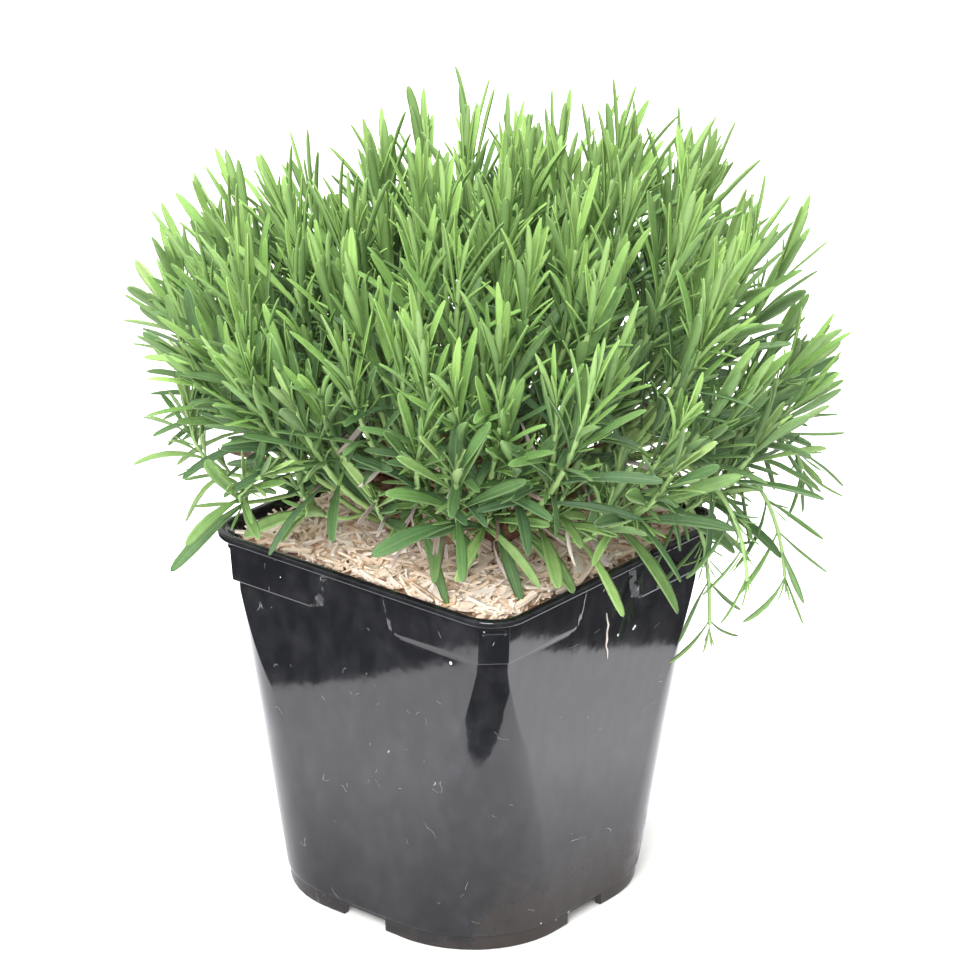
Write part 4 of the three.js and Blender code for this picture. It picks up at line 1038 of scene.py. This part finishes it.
def bud_leaves(shoots, settings):
    """Small leaves: three pairs in the bud at each tip, and tufts in axils below the top pairs.

    The second key of a draw, from 400, 500 or 600 up, keeps buds, tufts and what they share apart.
    """
    shoot, rank, side = combinations(range(len(shoots["id"])), range(3), (0, 1))
    keys = (shoots["id"][shoot], 400 + rank, side)
    turn = shoots["turn"][shoot] + (rank % 2 + 2 * side) * np.pi / 2 + 0.3 * sway(*keys, 41)
    tip = {
        "shoot": shoot, "at": np.full(len(shoot), 0.995), "axil": np.zeros(len(shoot)), "turn": turn,
        "share": 0.44 - 0.13 * rank + 0.05 * sway(*keys, 42), "open": 9 - 2.5 * rank + 4 * sway(*keys, 43),
        "rank": rank,
    }
    pairs = range(2, STEPS_PER_PAIR * 4 + 1)
    shoot, pair, side, rank = combinations(range(len(shoots["id"])), pairs, (0, 1), range(3))
    keep = has_pair(shoots, shoot, pair) & (draw(shoots["id"][shoot], pair, side, 51) < settings.tufts)
    shoot, pair, side, rank = shoot[keep], pair[keep], side[keep], rank[keep]
    keys = (shoots["id"][shoot], 500 + pair, side, rank)
    turn = shoots["turn"][shoot] + (pair % 2 + 2 * side) * np.pi / 2
    tuft = {
        "shoot": shoot, "at": pair_heights(shoots, shoot, pair) + 0.004, "axil": np.ones(len(shoot)),
        "turn": turn + ((rank - 1) * 0.9 + 0.3 * sway(*keys, 41)),
        "share": 0.34 + 0.14 * sway(*keys, 42),
        "open": 30 + 8 * (rank == 1) + 12 * sway(*keys, 43) + pair * 1.2, "rank": rank + pair,
    }

    small = joined(tip, tuft)
    shoot, axil, rank = small["shoot"], small["axil"], small["rank"]
    keys = (shoots["id"][shoot], 600 + rank, (small["turn"] * 100).astype(int))
    place, along, aside = on_stem(shoots, shoot, small["at"], small["turn"])
    place = place + along * (1.5 + 2.5 * draw(*keys, 44) * axil)[:, None] + aside * (axil * 1.2)[:, None]
    return {
        "shoot": shoot, "place": place, "along": along, "aside": aside,
        "length": settings.leaf_length / MM * small["share"] * np.where(shoots["thin"][shoot], 0.6, 1),
        "slenderness": settings.slenderness * (0.95 + 0.15 * sway(*keys, 45)),
        "open": np.radians(small["open"]), "bend": 0.12 + 0.12 * sway(*keys, 46),
        "sweep": 0.1 * sway(*keys, 50), "droop": np.zeros(len(shoot)), "blunt": np.full(len(shoot), 0.6),
        "age": np.clip(0.1 + 0.04 * axil * rank + 0.2 * depth(place), 0, 0.7),
        # The tone is a random draw less the painted shade of the bush's heart.
        "tone_and_shade": draw(*keys, 47) - shaded(place), "twist": 0.4 * sway(*keys, 48),
        "fold": 0.35 + 0.3 * draw(*keys, 49),
    }


def leaf_axes(leaves):
    """Which way each leaf sets out from its stem, and which way its underside faces there."""
    return turned(leaves["along"], leaves["aside"], leaves["open"][:, None])


def inside_box(leaves):
    """Shortens what would reach out of the plant's own box, by the share that fits."""
    low, high = (np.array(corner) / MM for corner in CAD_BOX)
    heading, under = leaf_axes(leaves)
    reach = heading + under * leaves["bend"][:, None] - UP * leaves["droop"][:, None]
    tip = leaves["place"] + reach * leaves["length"][:, None]
    room = np.where(tip > leaves["place"], high - leaves["place"], leaves["place"] - low) - BOX_MARGIN
    share = np.clip(room / np.maximum(abs(tip - leaves["place"]), 1e-6), 0.2, 1).min(-1)
    return {**leaves, "length": leaves["length"] * share}


def blades(leaves, stations):
    """Closed blades with a rounded margin, a sunk midrib above and a keel beneath.

    Midrib: place + L (s heading + s^2 (bend under + sweep across - droop up)). Half width: a narrow
    stalk that widens to a shoulder at s = 0.5 to 0.72, and from there closes on the tip as
    (1 - t^p)^q, with p 2 and q 0.7 on a narrow leaf, and p 2.5 and q 0.5 on a blunt one. Round the
    section: margin, upper half, midrib, upper half, margin, lower half, keel, lower half; the halves
    lift by fold towards the margins, which roll under. The section turns by twist over the length.
    """
    heading, under = leaf_axes(leaves)
    s = np.asarray(stations, float)[:, None]
    keys = ("bend", "sweep", "droop", "blunt", "fold")
    bend, sweep, droop, blunt, fold = (leaves[key][:, None] for key in keys)
    across = np.cross(heading, under)
    bend = under * bend + across * sweep - UP * droop
    length = leaves["length"][:, None, None]
    rib = leaves["place"][:, None] + length * (s * heading[:, None] + s**2 * bend[:, None])
    along = unit(heading[:, None] + 2 * s * bend[:, None])
    across = unit(across[:, None] - along * dot(across[:, None], along))
    upper = np.cross(along, across)
    across, upper = turned(across, upper, leaves["twist"][:, None, None] * s)
    s = s[:, 0]
    shoulder = lerp(0.5, 0.72, blunt)
    beyond = np.clip((s - shoulder) / (1.005 - shoulder), 0, 1)
    taper = (1 - beyond ** lerp(2.0, 2.5, blunt)) ** lerp(0.7, 0.5, blunt)
    widest = (leaves["length"] / leaves["slenderness"] / 2)[:, None]
    half = lerp(0.3, 1.0, smooth(0.0, shoulder - 0.05, s)) * taper * widest
    thick = np.clip(0.24 * half + 0.26, 0.24, 0.85)
    # Section points: share of the half width, lift by the fold, share of the thickness.
    share = np.array([1.0, 0.5, 0.0, -0.5, -1.0, -0.5, 0.0, 0.5])
    lift = np.array([0.92, 0.58, 0.0, 0.58, 0.92, 0.58, 0.0, 0.58])
    above = np.array([-0.35, 0.42, 0.08, 0.42, -0.35, -0.45, -1.0, -0.45])
    out = half[..., None] * share
    rise = (half * fold)[..., None] * lift + thick[..., None] * above
    grid = rib[:, :, None] + across[:, :, None] * out[..., None] + upper[:, :, None] * rise[..., None]
    last = leaves["place"] + length[:, 0] * (heading + bend) * 1.003
    return grid, rib[:, 0], last, s


def add_leaves(skin, leaves, stations, chosen=slice(None)):
    """Adds the chosen rows of a table of leaves to a skin."""
    some = {key: value[chosen] for key, value in leaves.items()}
    if len(some["length"]):
        skin.add(*blades(some, stations), leaf_age=some["age"], leaf_tone=some["tone_and_shade"])


def add_stem(skin, shoots, number):
    """The soft square stem of one shoot, a little thicker at each pair of leaves."""
    one = {key: values[number] for key, values in shoots.items()}
    pairs = np.arange(STEPS_PER_PAIR * (one["levels"] - 1) + 1)
    nodes = pair_heights(shoots, np.full(len(pairs), number), pairs)
    u = np.unique(np.concatenate([np.linspace(0, 1, 9), nodes - 0.018, nodes, nodes + 0.018]).clip(0, 1))
    swell = 0.3 * np.exp(-((u[:, None] - nodes) / 0.02) ** 2).max(1)
    azimuth = np.full(len(u), one["azimuth"])
    place, along, first, second = curve_frames(one["foot"], one["control"], one["apex"], azimuth, u)
    radius = lerp(*STEM_RADIUS, u) * (1 + swell) * (0.75 if one["thin"] or one["id"] >= RIM else 1)
    corner = np.arange(8) * np.pi / 4
    turn = one["turn"] + corner
    square = 1 - 0.1 * np.cos(4 * corner)
    spokes, _ = turned(first[:, None], second[:, None], turn[:, None])
    grid = place[:, None] + spokes * (radius[:, None] * square)[..., None]
    skin.add(grid[None], place[:1] - along[:1] * 0.3, place[-1:] + along[-1:] * 0.8, u, slot=1)


def all_leaves(shoots, settings):
    return [inside_box(leaves) for leaves in (main_leaves(shoots, settings), bud_leaves(shoots, settings))]


def make_shoots(name, shoots, leaves, numbers, stations, replaced=()):
    """Makes one piece of the numbered shoots, which are all of the canopy or all of the skirt."""
    skin = Skin()
    for table, sections in zip(leaves, (stations, SMALL_STATIONS)):
        add_leaves(skin, table, sections, np.isin(table["shoot"], numbers))
    for number in numbers:
        add_stem(skin, shoots, number)
    leaf = "leaf_skirt" if shoots["low"][numbers[0]] else "leaf_canopy"
    materials = [bpy.data.materials[f"lavender_{leaf}"], bpy.data.materials["lavender_stem"]]
    skin.make(name, materials, replaced)


# ---------------------------------------------------------------- woody crowns


def of_crown(table, crown):
    """The shoots that grow from a crown: those whose azimuth is nearest to its own."""
    turn = table["azimuth"][:, None] - CROWN_AZIMUTHS
    mine = abs(np.arctan2(np.sin(turn), np.cos(turn))).argmin(1) == crown
    return {key: values[mine] for key, values in table.items()}


def add_twigs(skin, origin, table, radii, sides, steps, rough, key):
    """Twigs from their origins to the shoots of a table, ending 2 mm inside their stems."""
    base, start = table["base"], table["start"]
    reach = np.linalg.norm(base - origin, axis=1, keepdims=True)
    curve = origin, base - start * 0.45 * reach, base + 2 * start
    add_tubes(skin, *curve, table["azimuth"], radii, sides, steps, rough, key)


def crown_twigs(skin, crown, shoots, extra):
    """One crown: a trunk, three limbs that share its high shoots in order of bearing, a twig to each
    of its shoots, and thinner ones from the nearest fork to the shoots that only the finish has."""
    azimuth = CROWN_AZIMUTHS[crown]
    root = lambda z: polar(CROWN_RADIUS, azimuth, z)[None]
    mine = of_crown(shoots, crown)
    away = mine["base"] - root(0)
    turn = np.arctan2(away[:, 1], away[:, 0]) - azimuth
    bearing = np.arctan2(np.sin(turn), np.cos(turn))
    high = np.flatnonzero(~mine["low"])
    high = high[np.argsort(bearing[high], kind="stable")]
    share = -(-len(high) // LIMBS_PER_CROWN)
    origin = np.repeat(root(TRUNK_TOP - 2), len(away), axis=0)
    forks = []
    for limb in range(LIMBS_PER_CROWN):
        group = high[limb * share : (limb + 1) * share]
        fork = lerp(root(TRUNK_TOP), mine["base"][group].mean(0), 0.5)
        curve = root(TRUNK_TOP - 6), root(TRUNK_TOP + 4), fork
        add_tubes(skin, *curve, [azimuth], LIMB_RADII, 12, 12, 0.09, 900 + limb)
        forks.append(curve_frames(*curve, np.array([azimuth]), np.array([0.96]))[0])
        origin[group] = forks[-1]
    trunk = (root(z) for z in (TRUNK_BOTTOM, TRUNK_BOTTOM + 20, TRUNK_TOP))
    add_tubes(skin, *trunk, [azimuth], TRUNK_RADII, 14, 14, 0.1, 950)
    add_twigs(skin, origin, mine, TWIG_RADII, 9, 12, 0.07, 970 + crown)

    more = of_crown(extra, crown)
    forks = np.concatenate([*forks, root(TRUNK_TOP - 4)])
    nearest = np.linalg.norm(more["base"][:, None] - forks, axis=2).argmin(1)
    add_twigs(skin, forks[nearest], more, THIN_TWIG_RADII, 8, 10, 0.08, 980 + crown)


def dead_leaves(count):
    """Dry curled leaves caught among the lower twigs, hanging at any angle."""
    n = 7000 + np.arange(count)  # beyond the numbers of all shoots
    azimuth = 2 * np.pi * draw(n, 1)
    radius = 16 + 62 * np.sqrt(draw(n, 2))
    place = polar(radius, azimuth, 160 + 52 * draw(n, 3) + 0.7 * np.maximum(0, radius - 45))
    along = unit(polar(1.0, azimuth, -0.9 + 1.2 * draw(n, 4)))
    aside = unit(np.cross(along, UP + 0.3 * sway(n, 5)[:, None]))
    return {
        "place": place, "along": along, "aside": aside, "length": lerp(16.0, 30.0, draw(n, 6)),
        "slenderness": lerp(7.0, 11.0, draw(n, 7)), "open": 0.6 * sway(n, 8), "bend": 0.45 * sway(n, 9),
        "droop": 0.35 * draw(n, 10), "sweep": 0.2 * sway(n, 15), "blunt": np.full(count, 0.7),
        "age": draw(n, 11), "tone_and_shade": draw(n, 12), "twist": 2.2 * sway(n, 13), "fold": 0.5 + 0.5 * draw(n, 14),
    }


# ---------------------------------------------------------------- settings


def colour_property(name, description, default):
    return bpy.props.FloatVectorProperty(
        name=name, description=description, subtype="COLOR", size=4, min=0, max=1, default=linear(default)
    )


def count_property(name, description, default):
    return bpy.props.IntProperty(name=name, description=description, default=default, min=1)


def measure_property(name, description, default, **more):
    return bpy.props.FloatProperty(name=name, description=description, default=default, **more)


class PotSettings(bpy.types.PropertyGroup):
    plastic: colour_property("Plastic", "Colour of the moulded plastic", "#131417")
    dust: colour_property("Dust", "Colour of the film of dust", "#8a8b92")
    soil: colour_property("Soil", "Colour of the soil round the foot", "#362c24")
    speck: colour_property("Specks", "Colour of specks and scratches", "#c9cac6")


class ShavingsSettings(bpy.types.PropertyGroup):
    count: count_property("Slivers", "Slivers over the bed", 3500)
    sapwood: colour_property("Sapwood", "Palest wood", "#fff6ee")
    pale: colour_property("Pale", "Pale wood", "#f9ead9")
    middle: colour_property("Middle", "Common wood", "#edd7bf")
    stain: colour_property("Stain", "Damp stained wood", "#c9a686")
    heartwood: colour_property("Heartwood", "Darkest wood", "#86654c")
    grain: colour_property("Grain", "Grain lines", "#cfac8c")


class FoliageSettings(bpy.types.PropertyGroup):
    leaf_length: measure_property(
        "Leaf length", "Length of a full-grown leaf", 0.040, min=0.005, unit="LENGTH"
    )
    slenderness: measure_property("Slenderness", "Length of a leaf over its width", 10.2, min=2)
    tufts: measure_property(
        "Tufts", "Share of leaf axils that hold a tuft", 0.34, min=0, max=1, subtype="FACTOR"
    )
    upper_infill: count_property("Upper shoots", "Extra canopy shoots", 78)
    side_infill: count_property("Side shoots", "Extra shoots at mid height", 30)
    heart_shoots: count_property("Heart shoots", "Extra shoots inside the bush", 18)
    trailing: count_property("Trailing sprigs", "Thin sprigs that hang over the side", 5)
    rim_sprigs: count_property("Rim sprigs", "Short sprigs that bend over the shavings and the lip", 20)
    rosettes: count_property("Rosettes", "Short shoots over the shavings", 9)
    dry: count_property("Dry leaves", "Dead leaves among the twigs", 110)


class StageSettings(bpy.types.PropertyGroup):
    azimuth: measure_property(
        "Azimuth", "Way round the plant that the camera stands", np.radians(38.52), subtype="ANGLE"
    )
    elevation: measure_property(
        "Elevation", "Angle at which the camera looks down", np.radians(21.84), subtype="ANGLE"
    )
    roll: measure_property(
        "Roll", "Tilt of the camera about its view", np.radians(-0.945), subtype="ANGLE"
    )
    distance: measure_property(
        "Distance", "From the camera to the point it aims at", 1.6469, unit="LENGTH"
    )
    lens: measure_property("Lens", "Focal length in millimetres", 148.3)
    floor: colour_property("Floor", "Colour of the studio floor", "#fbfaf8")


GROUPS = {
    "lavender_pot": PotSettings,
    "lavender_shavings": ShavingsSettings,
    "lavender_foliage": FoliageSettings,
    "lavender_stage": StageSettings,
}


# ---------------------------------------------------------------- operators


class LAVENDER_OT_stage(bpy.types.Operator):
    """Sets up the pale floor, the soft light and the camera"""

    bl_idname = "lavender.stage"
    bl_label = "Stage"

    def execute(self, context):
        scene = context.scene
        self.add_camera(scene, scene.lavender_stage)
        self.add_floor(scene, scene.lavender_stage)
        self.add_lights(scene)
        scene.view_settings.view_transform = "Standard"
        return {"FINISHED"}

    def add_camera(self, scene, settings):
        """A long lens whose view passes just beside the pot's axis at the height of its lip."""
        camera = bpy.data.objects.new("camera", bpy.data.cameras.new("camera"))
        aim = Vector((-31.62, 49.78, 146.30)) * MM
        turn = Matrix.Rotation(settings.azimuth, 4, "Z")
        turn = turn @ Matrix.Rotation(np.pi / 2 - settings.elevation, 4, "X")
        turn = turn @ Matrix.Rotation(-settings.roll, 4, "Z")
        camera.matrix_world = Matrix.Translation(aim) @ turn @ Matrix.Translation((0, 0, settings.distance))
        camera.data.lens = settings.lens
        camera.data.sensor_width = 36
        scene.collection.objects.link(camera)
        scene.camera = camera

    def add_floor(self, scene, settings):
        """A wide pale floor, and over it two glowing cards that only gloss shows, which paint reflections in
        the pot: a bright sheet under the pot, square to the camera, and the dim room round it. The sheet is
        dimmer near the pot, a painted shadow of the pot in that reflection."""
        far = 6000
        corners = [(-far, -far), (far, -far), (far, far), (-far, far)]
        self.add_card(scene, "floor", corners, 0.0, matt_paint("matt_floor_paint", settings.floor))
        # The sheet's corners: how far to the camera's right, and how far towards it.
        turn = Matrix.Rotation(settings.azimuth, 2)
        sheet = [turn @ Vector((x, -y)) for x, y in ((-248, 176), (-244, -520), (288, -520), (278, 181))]
        # Glowing cards that only gloss shows: painted reflections in the pot.
        cards = [
            self.add_card(scene, "dim_room_reflection", corners, 0.4, light_card("dim_room_reflection", 0.14, 0.14)),
            self.add_card(scene, "bright_sheet_reflection", sheet, 0.6, light_card("bright_sheet_reflection", 0.85, 2.75)),
        ]
        for card in cards:
            card.visible_camera = card.visible_diffuse = card.visible_shadow = False
            card.visible_transmission = card.visible_volume_scatter = False

    def add_card(self, scene, name, corners, z, material):
        """A flat card through points in millimetres at a height."""
        mesh = bpy.data.meshes.new(name)
        mesh.from_pydata([(x * MM, y * MM, z * MM) for x, y in corners], [], [range(len(corners))])
        mesh.materials.append(material)
        card = bpy.data.objects.new(name, mesh)
        scene.collection.objects.link(card)
        return card

    def add_lights(self, scene):
        """An even white surround, and a large softbox above the camera's left shoulder."""
        world = bpy.data.worlds.new("studio")
        scene.world = world
        world.use_nodes = True
        background = world.node_tree.nodes["Background"]
        background.inputs["Color"].default_value = (1.0, 1.0, 1.0, 1.0)
        background.inputs["Strength"].default_value = 0.96
        for name, place, size, power in (
            ("softbox", (0.73, -1.57, 1.35), 1.2, 59.0),
            ("top_light", (-0.2, 0.1, 2.0), 1.4, 70.0),
        ):
            light = bpy.data.lights.new(name, "AREA")
            light.shape = "DISK"
            light.size = size
            light.energy = power
            lamp = bpy.data.objects.new(name, light)
            lamp.location = place
            towards = Vector((0.0, 0.0, 0.2)) - lamp.location
            lamp.rotation_euler = towards.to_track_quat("-Z", "Y").to_euler()
            scene.collection.objects.link(lamp)


class LAVENDER_OT_pot(bpy.types.Operator):
    """Moulds the square nursery pot with its panels, lip, foot and drainage holes"""

    bl_idname = "lavender.pot"
    bl_label = "Nursery Pot"

    def execute(self, context):
        rows = pot_body(corner_columns())
        skin = Skin()
        ends = np.array([[0.0, 0.0, FLOOR_UNDERSIDE]]), np.array([[0.0, 0.0, FLOOR_TOP]])
        skin.add(rows[None], *ends, np.linspace(0, 1, len(rows)))
        material = black_polypropylene(context.scene.lavender_pot)
        pot = skin.make("nursery_pot", [material], ["pot"])
        drill_drains(pot)
        pot.data.set_sharp_from_angle(angle=np.radians(50))
        return {"FINISHED"}


class LAVENDER_OT_filling(bpy.types.Operator):
    """Finishes the growing medium and strews the wood shavings over it"""

    bl_idname = "lavender.filling"
    bl_label = "Compost and Shavings"

    def execute(self, context):
        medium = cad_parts["growing_medium"].data
        medium.materials.clear()
        medium.materials.append(peat_compost())
        settings = context.scene.lavender_shavings
        skin = Skin()
        first, second, turn = corner_columns()
        few = slice(None, None, 4)
        bed = shavings_bed((first[few], second[few], turn[few]))
        ends = np.array([[0.0, 0.0, BED_BOTTOM]]), np.array([[0.0, 0.0, BED_TOP]])
        # The bed under the slivers takes a dark wood colour as painted shade in the gaps between them.
        skin.add(bed[None], *ends, np.linspace(0, 1, len(bed)), shade=0.06)
        skin.add(*slivers(settings.count), shade=draw(np.arange(settings.count), 16) ** 0.75)
        skin.make(
            "wood_shavings", [softwood_shavings(settings)], ["wood_mulch"],
            smooth_faces=False,
        )
        return {"FINISHED"}


class LAVENDER_OT_crowns(bpy.types.Operator):
    """Grows the three woody crowns with their limbs, twigs and dry leaves"""

    bl_idname = "lavender.crowns"
    bl_label = "Woody Crowns"

    def execute(self, context):
        bark = lavender_bark()
        settings = context.scene.lavender_foliage
        shoots, extra = solid_shoots(), infill_shoots(settings)
        for crown, letter in enumerate("abc"):
            skin = Skin()
            crown_twigs(skin, crown, shoots, extra)
            skin.make(f"bark_crown_{letter}", [bark], [f"woody_stems_{letter}"])
        skin = Skin()
        add_leaves(skin, dead_leaves(settings.dry), SMALL_STATIONS)
        skin.add(*stuck_straw(), leaf_age=1.0, leaf_tone=0.95)
        skin.make("dry_leaves", [dry_leaf()])
        return {"FINISHED"}


class LAVENDER_OT_sprays(bpy.types.Operator):
    """Grows a leafy spray for each spray of the frame, on the same stem"""

    bl_idname = "lavender.sprays"
    bl_label = "Leafy Sprays"

    def execute(self, context):
        green_stem()
        lavender_leaf("lavender_leaf_canopy", CANOPY_PALETTE)
        lavender_leaf("lavender_leaf_skirt", SKIRT_PALETTE)
        shoots = solid_shoots()
        leaves = all_leaves(shoots, context.scene.lavender_foliage)
        for number in range(len(shoots["id"])):
            ending = f"spray_{number + 1:02d}"
            make_shoots(f"leafy_{ending}", shoots, leaves, [number], LARGE_STATIONS, [ending])
        return {"FINISHED"}


class LAVENDER_OT_infill(bpy.types.Operator):
    """Fills the bush between the sprays with more shoots, a dozen to a piece"""

    bl_idname = "lavender.infill"
    bl_label = "Infill Shoots"

    def execute(self, context):
        settings = context.scene.lavender_foliage
        shoots = infill_shoots(settings)
        leaves = all_leaves(shoots, settings)
        dozens = []
        for low in (False, True):
            numbers = np.flatnonzero(shoots["low"] == low)
            dozens += np.split(numbers, range(12, len(numbers), 12))
        for piece, numbers in enumerate(dozens, 1):
            make_shoots(f"infill_shoots_{piece:02d}", shoots, leaves, numbers, INFILL_STATIONS)
        return {"FINISHED"}


OPERATORS = (
    LAVENDER_OT_stage, LAVENDER_OT_pot, LAVENDER_OT_filling, LAVENDER_OT_crowns, LAVENDER_OT_sprays,
    LAVENDER_OT_infill,
)


class LAVENDER_PT_panel(bpy.types.Panel):
    """Lists the build steps and the settings they read"""

    bl_idname = "LAVENDER_PT_panel"
    bl_label = "Potted Lavender"
    bl_space_type = "VIEW_3D"
    bl_region_type = "UI"
    bl_category = "Lavender"

    def draw(self, context):
        for operator in OPERATORS:
            self.layout.operator(operator.bl_idname)
        for pointer, group in GROUPS.items():
            box = self.layout.box()
            for name in group.__annotations__:
                box.prop(getattr(context.scene, pointer), name)


def register():
    for group in GROUPS.values():
        bpy.utils.register_class(group)
    for pointer, group in GROUPS.items():
        setattr(bpy.types.Scene, pointer, bpy.props.PointerProperty(type=group))
    for operator in (*OPERATORS, LAVENDER_PT_panel):
        bpy.utils.register_class(operator)


def unregister():
    for operator in (*OPERATORS, LAVENDER_PT_panel):
        bpy.utils.unregister_class(operator)
    for pointer, group in GROUPS.items():
        delattr(bpy.types.Scene, pointer)
        bpy.utils.unregister_class(group)


def main():
    """Runs every step in turn."""
    register()
    bpy.ops.lavender.stage()
    bpy.ops.lavender.pot()
    bpy.ops.lavender.filling()
    bpy.ops.lavender.crowns()
    bpy.ops.lavender.sprays()
    bpy.ops.lavender.infill()
    bpy.context.view_layer.update()


if __name__ == "__main__":
    main()
